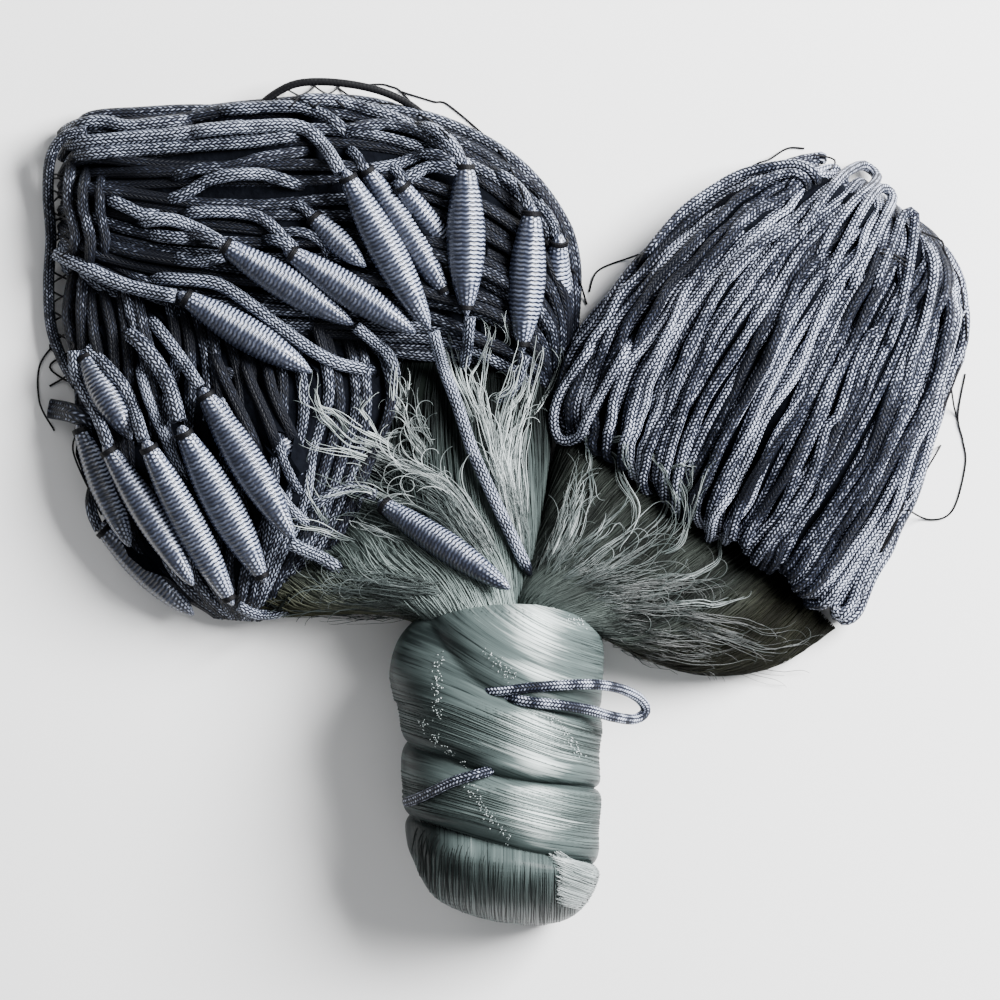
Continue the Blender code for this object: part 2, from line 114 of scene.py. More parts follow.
class Paint:
    """A Principled material and the nodes that feed it."""

    def __init__(self, name: str) -> None:
        """Starts a material with only its Principled shader.

        Args:
            name: the material's name.
        """
        self.material = bpy.data.materials.new(name)
        self.material.use_nodes = True
        self.tree = self.material.node_tree
        self.shader = self.tree.nodes["Principled BSDF"]

    def feed(self, socket: bpy.types.NodeSocket, value: Any) -> None:
        """Links a field to a socket, or sets the socket to a constant.

        Args:
            socket: an input of a node.
            value: a field or a constant.
        """
        if isinstance(value, Field):
            self.tree.links.new(value.socket, socket)
        else:
            socket.default_value = value

    def node(
        self,
        kind: str,
        settings: Optional[Dict[str, Any]] = None,
        sockets: Optional[Dict[Union[int, str], Any]] = None,
        output: Union[int, str] = 0,
    ) -> Field:
        """Adds a node.

        Args:
            kind: the node's type.
            settings: its properties, set first; "stops" are a ramp's (place, colour) pairs.
            sockets: a value or a field for each input that isn't left alone.
            output: the output that is used.

        Returns:
            The field at that output.
        """
        made = self.tree.nodes.new(kind)
        for key, value in (settings or {}).items():
            if key == "stops":
                elements = made.color_ramp.elements
                while len(elements) < len(value):
                    elements.new(0.5)
                for element, (place, colour) in zip(elements, value):
                    element.position = place
                    element.color = colour
            else:
                setattr(made, key, value)
        for key, value in (sockets or {}).items():
            self.feed(made.inputs[key], value)
        return Field(self, made.outputs[output])

    def math(self, operation: str, *values: Any) -> Field:
        """A Math node on fields and numbers."""
        return self.node("ShaderNodeMath", {"operation": operation}, dict(enumerate(values)))

    def clamp(self, value: Field) -> Field:
        """The value, kept between 0 and 1."""
        return self.node("ShaderNodeClamp", {}, {0: value})

    def split(self, value: Field) -> Tuple[Field, Field]:
        """The whole part of a value, and the rest of it."""
        return self.math("FLOOR", value), self.math("FRACT", value)

    def arch(self, value: Field) -> Field:
        """1 where the value is a half, and 0 where it is 0 or 1."""
        return self.math("SINE", value * math.pi)

    def mix(self, share: Any, low: Any, high: Any, blend: str = "MIX") -> Field:
        """A colour between two others, or one that takes on the other's cast."""
        settings = {"data_type": "RGBA", "blend_type": blend}
        return self.node("ShaderNodeMix", settings, {0: share, 6: low, 7: high}, 2)

    def ramp(self, value: Field, stops: Sequence[Tuple[float, Colour]]) -> Field:
        """The colour of a ramp at a value."""
        return self.node("ShaderNodeValToRGB", {"stops": stops}, {0: value})

    def attribute(self, name: str) -> Field:
        """A number that the mesh carries at each of its points."""
        return self.node("ShaderNodeAttribute", {"attribute_name": name}, {}, "Fac")

    def around_and_along(self) -> Tuple[Field, Field]:
        """How far round a line a point is, from 0 to 1, and how many stitches along it.

        Returns:
            The two fields, from the UV map.
        """
        place = self.node("ShaderNodeUVMap", {"uv_map": "UVMap"})
        around = self.node("ShaderNodeSeparateXYZ", {}, {0: place}, 0)
        along = self.node("ShaderNodeSeparateXYZ", {}, {0: place}, 1)
        return around, along

    def noise_at(self, place: Field, scale: float, detail: float) -> Field:
        """Smooth noise at a place."""
        return self.node("ShaderNodeTexNoise", {}, {"Vector": place, "Scale": scale, "Detail": detail})

    def noise(self, scale: float, detail: float = 2.0) -> Field:
        """Smooth noise in the object's own space, with scale in waves a metre."""
        return self.noise_at(self.node("ShaderNodeTexCoord", {}, {}, "Object"), scale, detail)

    def streaks(self, along: Field, across: Field) -> Field:
        """Smooth noise drawn out one way."""
        return self.noise_at(self.node("ShaderNodeCombineXYZ", {}, {0: along, 1: across}), 1.0, 3.0)

    def dice(self, row: Field, step: Field) -> Field:
        """A random number for each stitch."""
        cell = self.node("ShaderNodeCombineXYZ", {}, {0: row, 1: step})
        return self.node("ShaderNodeTexWhiteNoise", {"noise_dimensions": "3D"}, {"Vector": cell})

    def bump(self, height: Field, depth: float, strength: float) -> None:
        """Raises the surface by a height field of this depth, in metres."""
        sockets = {"Height": height, "Distance": depth, "Strength": strength}
        self.feed(self.shader.inputs["Normal"], self.node("ShaderNodeBump", {}, sockets))

    def surface(self, colour: Any, roughness: Any, specular: float = 0.5) -> bpy.types.Material:
        """Feeds the shader and returns the material.

        Args:
            colour: a field or a colour.
            roughness: a field or a number.
            specular: how strong its highlights are.

        Returns:
            The material.
        """
        self.feed(self.shader.inputs["Base Color"], colour)
        self.feed(self.shader.inputs["Roughness"], roughness)
        self.feed(self.shader.inputs["Specular IOR Level"], specular)
        return self.material


# --- finishes -----------------------------------------------------------------------------------


@dataclass(frozen=True)
class Braid:
    """Braided line: rows of slanting yarns that lean to either side in turn, pale where they rise."""

    name: str
    hollow: Colour
    yarn: Colour
    crown: Colour
    rows: int
    slant: float
    uneven: float
    roughness: float
    relief: float

    def make(self) -> bpy.types.Material:
        """Builds the material; the mesh carries tone, from 0 for dark line to 1 for pale.

        Returns:
            The material.
        """
        paint = Paint(self.name)
        around, along = paint.around_and_along()
        row, across = paint.split(around * self.rows)
        lean = 1 - 2 * paint.math("MODULO", row, 2.0)
        step, within = paint.split(along + lean * (across - 0.5) * self.slant + lean * 0.25)
        rise = paint.arch(across) ** 0.6 * paint.arch(within) ** 0.7
        level = 0.35 + paint.attribute("tone") + self.uneven * (paint.dice(row, step) - 0.5)
        level = level + 0.35 * (paint.noise(150.0) - 0.5)
        # hollow is painted shade between the yarns, and crown a painted highlight where they rise
        stops = [(0.0, self.hollow), (0.34, self.hollow), (0.6, self.yarn), (0.95, self.crown)]
        paint.bump(rise, self.relief, 0.8)
        return paint.surface(paint.ramp(paint.clamp(rise * level), stops), self.roughness, 0.15)


@dataclass(frozen=True)
class Sleeve:
    """A float's sleeve: fine ribs across it, with small teeth, and rows of checks towards its tips."""

    name: str
    hollow: Colour
    rib: Colour
    crown: Colour
    fleck: Colour
    teeth: int
    tooth: float
    roughness: float

    def make(self) -> bpy.types.Material:
        """Builds the material; the mesh carries tone and swell.

        Returns:
            The material.
        """
        paint = Paint(self.name)
        around, along = paint.around_and_along()
        row, across = paint.split(around * self.teeth)
        zigzag = paint.math("ABSOLUTE", across * 2 - 1)
        rise = paint.arch(paint.math("FRACT", along + zigzag * self.tooth))
        offset = paint.math("FRACT", along + 0.5 * paint.math("MODULO", row, 2.0))
        checks = paint.arch(offset) * paint.arch(across)
        ribbed = paint.clamp(paint.attribute("swell") * 5.0 - 3.2)
        # a painted highlight along the sleeve's upper right side
        painted_highlight = paint.clamp(1 - ((around - 0.63) * 7.5) ** 2)
        uneven = 0.3 * (paint.dice(row, paint.math("FLOOR", along)) - 0.5)
        lit = checks * (1 - ribbed) * 1.5 + rise ** 1.6 * ribbed
        lit = paint.clamp(lit * (0.24 + paint.attribute("tone") + 0.75 * painted_highlight + uneven))
        # hollow is painted shade between the ribs; fleck, the palest, is reached in the painted
        # highlight and on the checks
        stops = [(0.0, self.hollow), (0.42, self.rib), (0.8, self.crown), (1.0, self.fleck)]
        paint.bump(lit, 0.0002, 0.7)
        return paint.surface(paint.ramp(lit, stops), self.roughness, 0.6)


@dataclass(frozen=True)
class Monofilament:
    """Fine filament, from the shaded inside of a bunch to its sheen, and browner where it is warm."""

    name: str
    deep: Colour
    middle: Colour
    sheen: Colour
    brown: Colour
    roughness: float
    gloss: float

    def colour(self, paint: Paint, value: Field) -> Field:
        """Its colour, from deep at 0 to its sheen at 1; the mesh carries warmth.

        Args:
            paint: the material that is being made.
            value: how pale the filament is.

        Returns:
            The colour's field.
        """
        stops = [(0.0, self.deep), (0.5, self.middle), (1.0, self.sheen)]
        cool = paint.ramp(paint.clamp(value), stops)
        return paint.mix(paint.attribute("warmth"), cool, self.brown, "MULTIPLY")

    def make(self) -> bpy.types.Material:
        """Builds the material; the mesh carries tone.

        Returns:
            The material.
        """
        paint = Paint(self.name)
        value = paint.attribute("tone") + (paint.noise(90.0) - 0.5) * 0.3
        return paint.surface(self.colour(paint, value), self.roughness, self.gloss)


@dataclass(frozen=True)
class CombedFilament(Monofilament):
    """A bunch of filament seen as one surface, with thin dark lines the way it is combed."""

    relief: float

    def make(self) -> bpy.types.Material:
        """Builds the material; the mesh carries tone, and in its UV map millimetres.

        Returns:
            The material.
        """
        paint = Paint(self.name)
        along, across = paint.around_and_along()
        fine = paint.streaks(along * 0.03, across * 1.1)
        broad = paint.streaks(along * 0.02, across * 0.22)
        lines = paint.clamp((0.43 - fine) * 9)
        value = paint.attribute("tone") + (broad - 0.5) * 0.9 + (fine - 0.5) * 0.5 - lines * 0.3
        paint.bump(fine + broad, self.relief, 0.6)
        roughness = self.roughness + (broad - 0.5) * 0.2
        return paint.surface(self.colour(paint, value), roughness, self.gloss)


@dataclass(frozen=True)
class Shade:
    """Painted shade: the near-black inside of a heap, seen between the lines on it."""

    name: str
    dark: Colour
    light: Colour
    scale: float

    def make(self) -> bpy.types.Material:
        """Builds the material in the object's own space.

        Returns:
            The material.
        """
        paint = Paint(self.name)
        cloud = paint.noise(self.scale, 3.0)
        paint.bump(cloud, 0.0015, 0.6)
        return paint.surface(paint.mix(cloud, self.dark, self.light), 0.9, 0.02)


class Finish(Enum):
    """The finishes of the net."""

    LEAD_LINE = Braid(
        "lead_line_braid", (0.004, 0.005, 0.009, 1), (0.030, 0.036, 0.060, 1),
        (0.50, 0.54, 0.67, 1), 8, 0.7, 0.35, 0.5, 0.0005)
    FLOAT_LINE = Braid(
        "float_line_braid", (0.004, 0.0048, 0.008, 1), (0.024, 0.029, 0.046, 1),
        (0.37, 0.41, 0.52, 1), 12, 0.9, 0.4, 0.5, 0.0006)
    FLOAT_COVER = Sleeve(
        "float_cover_ribs", (0.005, 0.006, 0.011, 1), (0.023, 0.028, 0.047, 1),
        (0.082, 0.096, 0.142, 1), (0.36, 0.40, 0.52, 1), 14, 0.22, 0.3)
    LOOSE_FILAMENT = Monofilament(
        "loose_monofilament", (0.012, 0.015, 0.014, 1), (0.09, 0.112, 0.11, 1),
        (0.62, 0.69, 0.69, 1), (1.0, 0.86, 0.66, 1), 0.4, 0.5)
    BUNCHED_FILAMENT = Monofilament(
        "bunched_monofilament", (0.008, 0.010, 0.010, 1), (0.066, 0.085, 0.082, 1),
        (0.26, 0.32, 0.31, 1), (1.0, 0.82, 0.58, 1), 0.5, 0.05)
    FAN_SKIN = CombedFilament(
        "combed_monofilament", (0.006, 0.008, 0.007, 1), (0.050, 0.066, 0.063, 1),
        (0.17, 0.215, 0.205, 1), (1.0, 0.82, 0.64, 1), 0.6, 0.0, 0.0004)
    # sheen is the winding's painted highlight colour, and deep its painted shade
    HANDLE_SKIN = CombedFilament(
        "wound_monofilament", (0.014, 0.019, 0.019, 1), (0.085, 0.112, 0.109, 1),
        (0.78, 0.87, 0.85, 1), (1.0, 0.86, 0.66, 1), 0.34, 0.06, 0.0003)
    WALL_NETTING = Braid(
        "wall_netting_twine", (0.001, 0.001, 0.002, 1), (0.003, 0.003, 0.004, 1),
        (0.009, 0.009, 0.010, 1), 4, 0.5, 0.3, 0.6, 0.0001)
    LINE_SHADE = Shade(
        "line_heap_inside", (0.001, 0.0012, 0.002, 1), (0.005, 0.006, 0.009, 1), 260.0)
    NETTING_SHADE = Shade(
        "netting_inside", (0.002, 0.0025, 0.0025, 1), (0.008, 0.010, 0.009, 1), 180.0)

    def material(self) -> bpy.types.Material:
        """The finish's material, made when it is first asked for."""
        return bpy.data.materials.get(self.value.name) or self.value.make()


# --- curves and tubes ---------------------------------------------------------------------------


def smooth_rows(rows: Any, steps: int) -> Array:
    """The rows again, with smooth steps between neighbours.

    Args:
        rows: rows of numbers.
        steps: how many steps lie between two rows.

    Returns:
        An array with a row for each step.
    """
    rows = np.asarray(rows, float)
    padded = np.vstack([rows[:1], rows, rows[-1:]])
    p, q, r, s = (part[:, None, :] for part in (padded[:-3], padded[1:-2], padded[2:-1], padded[3:]))
    t = (np.arange(steps) / steps)[None, :, None]
    found = 0.5 * (2 * q + (r - p) * t + (2 * p - 5 * q + 4 * r - s) * t**2
                   + (3 * q - p - 3 * r + s) * t**3)
    return np.vstack([found.reshape(-1, rows.shape[1]), rows[-1:]])


def arc_lengths(points: Array) -> Array:
    """How far along a line each of its points lies."""
    return np.concatenate([[0.0], np.cumsum(np.linalg.norm(np.diff(points, axis=0), axis=1))])


def unit(vectors: Array) -> Array:
    """The same directions, at a length of 1."""
    return vectors / np.maximum(np.linalg.norm(vectors, axis=-1, keepdims=True), 1e-12)


def fade(away: Any, reach: float) -> Array:
    """1 where a distance is 0, falling to 0 at the reach."""
    return np.clip(1 - away / reach, 0, 1)


def above(points: Array, lowest: float) -> Array:
    """The points, none of them below a height."""
    points[:, 2] = np.maximum(points[:, 2], lowest)
    return points


def sideways(line: Array) -> Array:
    """The direction to the left of a line on the plan, at each of its points."""
    ahead = unit(np.gradient(line[:, :2], axis=0))
    return np.column_stack([-ahead[:, 1], ahead[:, 0]])


def sampled(rows: Array, at: Array, want: Array) -> Array:
    """Rows that are known at some places, read at others."""
    return np.column_stack([np.interp(want, at, column) for column in rows.T])


def respaced(line: Array, count: int) -> Array:
    """This many points at even distances along a line."""
    lengths = arc_lengths(line)
    return sampled(line, lengths, np.linspace(0, lengths[-1], count))


def even_points(route: Any, step: float) -> Array:
    """Points about a step apart on a smooth curve through a route's own points.

    Args:
        route: the points to pass through.
        step: from point to point.

    Returns:
        The points.
    """
    fine = smooth_rows(route, 12)
    return respaced(fine, max(2, round(arc_lengths(fine)[-1] / step)) + 1)


@dataclass
class Strand:
    """A line of round section, in millimetres on the plan."""

    points: Array
    radius: Numbers
    tone: Numbers = 0.5
    stitch: Numbers = 1.5
    swell: Numbers = 0.0
    warmth: Numbers = 0.0
    ribs: float = 0.0


def line_frames(centres: Array) -> Tuple[Array, Array]:
    """Two directions across each line at each of its points, carried along without turning.

    Args:
        centres: (lines, points, 3) places.

    Returns:
        Two arrays of unit vectors; with the line's own direction they are right-handed.
    """
    ahead = np.empty_like(centres)
    ahead[:, 1:-1] = centres[:, 2:] - centres[:, :-2]
    ahead[:, 0] = centres[:, 1] - centres[:, 0]
    ahead[:, -1] = centres[:, -1] - centres[:, -2]
    still = np.linalg.norm(ahead, axis=2) < 1e-9
    for k in range(1, ahead.shape[1]):
        ahead[still[:, k], k] = ahead[still[:, k], k - 1]
    ahead = unit(ahead)
    side = np.empty_like(centres)
    up = np.tile([0.0, 0.0, 1.0], (len(centres), 1))
    steep = np.abs(ahead[:, 0, 2]) > 0.9
    up[steep] = (1.0, 0.0, 0.0)
    current = np.cross(ahead[:, 0], up)
    for k in range(ahead.shape[1]):
        current = unit(current - ahead[:, k] * np.sum(current * ahead[:, k], axis=1, keepdims=True))
        side[:, k] = current
    return side, np.cross(ahead, side)


def lofted_mesh(
    name: str,
    places: Array,
    unwrapped: Array,
    carried: Dict[str, Array],
    starts: Sequence[int] = (),
) -> bpy.types.Mesh:
    """A closed mesh through rings of places: a grid with a row for each ring, welded at its seam.

    Args:
        name: the mesh's name.
        places: (rings, places round and the first again, 3) in millimetres on the plan.
        unwrapped: the same for the UV map, with 2 numbers.
        carried: attributes, with a number for each place.
        starts: the rings at which a new tube starts.

    Returns:
        The mesh.
    """
    rows, columns = places.shape[:2]
    mesh = bpy.data.meshes.new(name)
    bm = bmesh.new()
    bmesh.ops.create_grid(bm, x_segments=columns - 1, y_segments=rows - 1, size=1.0)
    bm.faces.ensure_lookup_table()
    cut = [bm.faces[k] for row in starts for k in range((row - 1) * (columns - 1), row * (columns - 1))]
    bmesh.ops.delete(bm, geom=cut, context="FACES")
    bm.to_mesh(mesh)
    places = (places - (*ORIGIN, 0.0)) * MM
    mesh.vertices.foreach_set("co", places.astype(np.float32).ravel())
    corners = np.empty(len(mesh.loops), np.int32)
    mesh.loops.foreach_get("vertex_index", corners)
    layer = mesh.uv_layers.new(name="UVMap")
    layer.data.foreach_set("uv", unwrapped.reshape(-1, 2)[corners].astype(np.float32).ravel())
    for label, values in carried.items():
        attribute = mesh.attributes.new(label, "FLOAT", "POINT")
        attribute.data.foreach_set("value", values.astype(np.float32).ravel())
    bm.clear()
    bm.from_mesh(mesh)
    bmesh.ops.remove_doubles(bm, verts=bm.verts, dist=WELD)
    bmesh.ops.recalc_face_normals(bm, faces=bm.faces)
    bm.to_mesh(mesh)
    bm.free()
    mesh.shade_smooth()
    return mesh


def strands_mesh(name: str, strands: Sequence[Strand], sides: int) -> bpy.types.Mesh:
    """One mesh of closed tubes.

    Args:
        name: the mesh's name.
        strands: the lines to build.
        sides: how many sides a tube has.

    Returns:
        The mesh, with a UV map of turns round and stitches along, and what each point carries.
    """
    counts = np.array([len(s.points) for s in strands]) + 2
    longest = counts.max()
    centres = np.empty((len(strands), longest, 3))
    radii = np.zeros((len(strands), longest))
    stitches = np.zeros((len(strands), longest))
    carried = {label: np.zeros((len(strands), longest)) for label in ("tone", "swell", "warmth")}
    for i, strand in enumerate(strands):
        n = len(strand.points)
        centres[i, 1:n + 1] = strand.points
        centres[i, 0] = strand.points[0]
        centres[i, n + 1:] = strand.points[-1]
        radii[i, 1:n + 1] = strand.radius
        steps = np.diff(arc_lengths(strand.points)) / np.broadcast_to(strand.stitch, n)[1:]
        stitches[i, 2:n + 1] = np.cumsum(steps)
        stitches[i, n + 1:] = stitches[i, n]
        for label, values in carried.items():
            values[i, 1:n + 1] = getattr(strand, label)
            values[i, 0] = values[i, 1]
            values[i, n + 1:] = values[i, n]
    frames_of = centres.copy()
    frames_of[:, 0] = 2 * centres[:, 1] - centres[:, 2]
    side, over = line_frames(frames_of)
    used = np.arange(longest)[None, :] < counts[:, None]
    angles = 2 * math.pi * np.arange(sides + 1) / sides
    ring = side[used][:, None] * np.cos(angles)[:, None] + over[used][:, None] * np.sin(angles)[:, None]
    ribs = np.repeat([s.ribs for s in strands], counts) * carried["swell"][used]
    rib = np.abs(np.sin(math.pi * stitches[used])) - 0.5
    reach = radii[used] + ribs * rib * (radii[used] > 0)
    places = centres[used][:, None] + ring * reach[:, None, None]
    along = np.repeat(stitches[used][:, None], sides + 1, axis=1)
    around = np.broadcast_to(angles / (2 * math.pi), along.shape)
    carried = {label: np.repeat(values[used], sides + 1) for label, values in carried.items()}
    return lofted_mesh(name, places, np.dstack([around, along]), carried, np.cumsum(counts)[:-1])


def link(name: str, data: Any) -> bpy.types.Object:
    """Adds an object to the scene.

    Args:
        name: the object's name.
        data: its mesh, camera or light.

    Returns:
        The new object.
    """
    made = bpy.data.objects.new(name, data)
    bpy.context.scene.collection.objects.link(made)
    return made


def show(name: str, mesh: bpy.types.Mesh, finish: Finish, slot: str, *nodes: str) -> bpy.types.Object:
    """Adds a piece to the scene.

    Args:
        name: the piece's name.
        mesh: its finished mesh, in place.
        finish: what it is made of.
        slot: not used.
        nodes: the CAD nodes that it stands for.

    Returns:
        The new object.
    """
    piece = link(name, mesh)
    mesh.materials.append(finish.material())
    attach(piece, BODY)
    if nodes:
        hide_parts(*nodes)
    log.info("%s: %d faces", name, len(mesh.polygons))
    return piece


def tubes(
    name: str, strands: Sequence[Strand], sides: int, finish: Finish, slot: str, *nodes: str
) -> bpy.types.Object:
    """Adds strands to the scene as one piece."""
    return show(name, strands_mesh(name, strands, sides), finish, slot, *nodes)


def inside(
    name: str, node: str, depth: float, finish: Finish, slot: str, cut: Optional[float] = None
) -> bpy.types.Object:
    """Adds the inside of a heap, near-black as painted shade: its solid, drawn in.

    Args:
        name: the piece's name.
        node: the CAD node of the heap.
        depth: how far it is drawn in, in millimetres.
        finish: what it is made of.
        slot: passed on to show, which does not use it.
        cut: where along the model it is cut off, if it is, with what lies above kept.

    Returns:
        The new object.
    """
    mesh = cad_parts[node].data.copy()
    mesh.materials.clear()
    bm = bmesh.new()
    bm.from_mesh(mesh)
    bmesh.ops.remove_doubles(bm, verts=bm.verts, dist=CAD_WELD)
    bm.normal_update()
    for vert in bm.verts:
        vert.co -= vert.normal * depth * MM
        vert.co.z = max(vert.co.z, CLEARANCE * MM)
    if cut is not None:
        everything = [*bm.verts, *bm.edges, *bm.faces]
        level = (0, cut * MM, 0)
        bmesh.ops.bisect_plane(
            bm, geom=everything, plane_co=level, plane_no=(0, 1, 0), clear_inner=True)
        bmesh.ops.holes_fill(bm, edges=[edge for edge in bm.edges if edge.is_boundary])
    bm.to_mesh(mesh)
    bm.free()
    return show(name, mesh, finish, slot, node)


# --- heaps, and what lies on them ---------------------------------------------------------------


def dome(away: Array, radius: float) -> Array:
    """How far a ball reaches above its middle, at squared distances from it on the plan."""
    return np.where(away < radius**2, np.sqrt(np.maximum(radius**2 - away, 0)), -np.inf)


def relax(heights: Array, passes: int, give: float) -> Array:
    """Smooths heights along a line, which sinks by at most give in each pass.

    Args:
        heights: the heights.
        passes: how many passes there are.
        give: in millimetres.

    Returns:
        The smoothed heights.
    """
    for _ in range(passes):
        eased = heights.copy()
        eased[1:-1] = (heights[:-2] + 2 * heights[1:-1] + heights[2:]) / 4
        heights = np.maximum(eased, heights - give)
    return heights


@dataclass
class Heap:
    """A heap's surface, unrolled: w is 0 to 1 from floor to floor across it, and v along its folds."""

    stations: Route  # left x, left y, right x, right y, crown, rim
    sink: float = 2.0
    steps: int = 14
    columns: int = 180
    ceiling: float = 3.5
    fullness: float = 2.4  # how square its arch is
    flare: float = 0.015  # how far its foot stands out from its rim, as a share of its width
    reach: int = 8  # the most cells that a line covers to either side

    def __post_init__(self) -> None:
        """Works out the surface, its normals and the size of its cells."""
        rows = smooth_rows(self.stations, self.steps)
        self.grid = np.array([self.section(row) for row in rows])
        along = np.gradient(self.grid, axis=0)
        across = np.gradient(self.grid, axis=1)
        normals = np.cross(across, along)
        normals *= np.sign(normals[len(rows) // 2, self.columns // 2, 2])
        self.normals = unit(normals)
        self.across_cell = np.linalg.norm(across, axis=2).mean(axis=1)
        self.along_cell = np.linalg.norm(along, axis=2)
        self.length = float(self.along_cell.sum(axis=0).mean())
        self.top = np.full(self.grid.shape[:2], -self.sink)

    def section(self, row: Array) -> Array:
        """Evenly spaced points across the heap, from the floor over the crown to the floor.

        Args:
            row: its two ends on the plan, its crown and its rim.

        Returns:
            The section's points.
        """
        left, right = row[:2], row[2:4]
        crown, rim = row[4:]
        even = (1 - np.cos(np.linspace(0, math.pi, 160))) / 2
        full = (1 - np.abs(2 * even - 1) ** self.fullness) ** (1 / self.fullness)
        arch = rim + (crown - rim) * full
        foot = np.linspace(0, 0.9, 6)
        toe = self.flare * (1 - foot)
        share = np.concatenate([toe, even, 1 - toe[::-1]])
        height = np.concatenate([rim * foot, arch, rim * foot[::-1]])
        line = np.column_stack([left + (right - left) * share[:, None], height])
        return respaced(line, self.columns)

    def sample(self, values: Array, w: Array, v: Array) -> Array:
        """A grid's values at places on the heap.

        Args:
            values: numbers for each point of the grid.
            w: how far across the heap.
            v: how far along it.

        Returns:
            The numbers at each place.
        """
        x = np.clip(w, 0, 1) * (values.shape[1] - 1)
        y = np.clip(v, 0, 1) * (values.shape[0] - 1)
        column = np.minimum(x.astype(int), values.shape[1] - 2)
        row = np.minimum(y.astype(int), values.shape[0] - 2)
        fx = (x - column)[:, None]
        fy = (y - row)[:, None]
        low = values[row, column] * (1 - fx) + values[row, column + 1] * fx
        high = values[row + 1, column] * (1 - fx) + values[row + 1, column + 1] * fx
        return low * (1 - fy) + high * fy

    def place(self, w: Array, v: Array, lift: Numbers) -> Array:
        """Points a distance above the heap's surface."""
        lift = np.broadcast_to(lift, len(w))[:, None]
        return self.sample(self.grid, w, v) + self.sample(self.normals, w, v) * lift

    def stack(self, w: Array, v: Array, radius: float) -> Array:
        """Lays a line over all that lies there so far, and returns how high its middle lies.

        Args:
            w: how far across the heap.
            v: how far along it.
            radius: the line's radius.

        Returns:
            Heights above the heap's surface.
        """
        rows, columns = self.top.shape
        row = np.clip(np.rint(v * (rows - 1)), 0, rows - 1).astype(int)
        column = np.clip(np.rint(w * (columns - 1)), 0, columns - 1).astype(int)
        reach_v = min(self.reach, math.ceil(radius / np.median(self.along_cell)))
        reach_w = min(self.reach, math.ceil(radius / self.across_cell.min()))
        dv, dw = (d.ravel() for d in np.mgrid[-reach_v:reach_v + 1, -reach_w:reach_w + 1])
        away = (dv * self.along_cell[row, column][:, None]) ** 2
        room = dome(away + (dw * self.across_cell[row][:, None]) ** 2, radius)
        near_rows = np.clip(row[:, None] + dv, 0, rows - 1)
        near_columns = np.clip(column[:, None] + dw, 0, columns - 1)
        lift = (self.top[near_rows, near_columns] + room).max(axis=1) - PRESS * radius
        lift = np.minimum(relax(lift, 5, 0.6), self.ceiling)
        np.maximum.at(self.top, (near_rows, near_columns), lift[:, None] + room)
        return lift


class Pile:
    """Heights of what has been laid so far, on a grid over the plan."""

    CELL = 1.0
    LOW = np.array([-205.0, -190.0])
    SHAPE = (411, 381)
    HELD = 14.0  # how far from an end its held height is felt
    TUCKED = 10.0  # and how far from one that is tucked in

    def __init__(self, nodes: Dict[str, float]) -> None:
        """Starts from the upper side of some CAD nodes, each sunk by its distance.

        Args:
            nodes: how far each CAD node is sunk.
        """
        trees = []
        for node in nodes:
            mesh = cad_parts[node].data
            mesh.calc_loop_triangles()
            corners = [v.co for v in mesh.vertices]
            faces = [tuple(t.vertices) for t in mesh.loop_triangles]
            trees.append(BVHTree.FromPolygons(corners, faces))
        self.heights = np.zeros(self.SHAPE)
        down = Vector((0, 0, -1))
        for i in range(self.SHAPE[0]):
            for j in range(self.SHAPE[1]):
                x, y = self.LOW + (i * self.CELL, j * self.CELL)
                start = Vector(((x - ORIGIN[0]) * MM, (y - ORIGIN[1]) * MM, SKY))
                hits = [tree.ray_cast(start, down)[0] for tree in trees]
                found = [hit.z / MM - below for hit, below in zip(hits, nodes.values()) if hit]
                self.heights[i, j] = max(found + [0.0])

    def cells(self, plan: Array) -> Tuple[Array, Array]:
        """The grid cells at places on the plan.

        Args:
            plan: the places.

        Returns:
            The cells' two indices.
        """
        found = np.rint((plan[:, :2] - self.LOW) / self.CELL).astype(int)
        found = np.clip(found, 0, np.array(self.SHAPE) - 1)
        return found[:, 0], found[:, 1]

    def height(self, plan: Array) -> Array:
        """The heights at places on the plan."""
        return self.heights[self.cells(plan)]

    def around(self, plan: Array, radius: float) -> Tuple[Array, Array, Array]:
        """The cells under a line, and how far above its middle the line reaches over each.

        Args:
            plan: the places.
            radius: the line's radius.

        Returns:
            The cells' two indices, and the heights over each.
        """
        i, j = self.cells(plan)
        reach = math.ceil(radius / self.CELL)
        di, dj = (d.ravel() for d in np.mgrid[-reach:reach + 1, -reach:reach + 1])
        room = dome((di**2 + dj**2) * self.CELL**2, radius)
        near_i = np.clip(i[:, None] + di, 0, self.SHAPE[0] - 1)
        near_j = np.clip(j[:, None] + dj, 0, self.SHAPE[1] - 1)
        return near_i, near_j, np.broadcast_to(room, near_i.shape)

    def add(self, points: Array, radius: float) -> None:
        """Notes a line that already has its heights."""
        near_i, near_j, room = self.around(points, radius)
        np.maximum.at(self.heights, (near_i, near_j), points[:, 2][:, None] + room)

    def lay(
        self,
        route: Route,
        radius: float,
        press: float = 0.4,
        step: float = 2.5,
        ends: Sequence[Optional[float]] = (None, None),
        tuck: float = 6.5,
        raised: float = 0.0,
    ) -> Array:
        """Lays a line over all that lies there so far.

        Args:
            route: its way on the plan.
            radius: the line's radius.
            press: how far it sinks into what is below, as a share of its radius.
            step: between its points.
            ends: the heights at which its ends are held, where they are.
            tuck: how far an end that isn't held goes down into the heap.
            raised: how far the line is lifted, to lie over what is laid later.

        Returns:
            The line's points.
        """
        plan = even_points(route, step)
        near_i, near_j, room = self.around(plan, radius)
        heights = (self.heights[near_i, near_j] + room).max(axis=1) - press * radius
        heights = relax(heights, 8, 0.5)
        lengths = arc_lengths(plan)
        for end, away in zip(ends, (lengths, lengths[-1] - lengths)):
            near = fade(away, self.TUCKED if end is None else self.HELD)
            near = near * near * (3 - 2 * near)
            if end is None:
                heights = heights - tuck * near
            else:
                heights = heights * (1 - near) + end * near
        points = np.column_stack([plan, np.maximum(heights + raised, radius)])
        if not raised:
            self.add(points, radius)
        return points


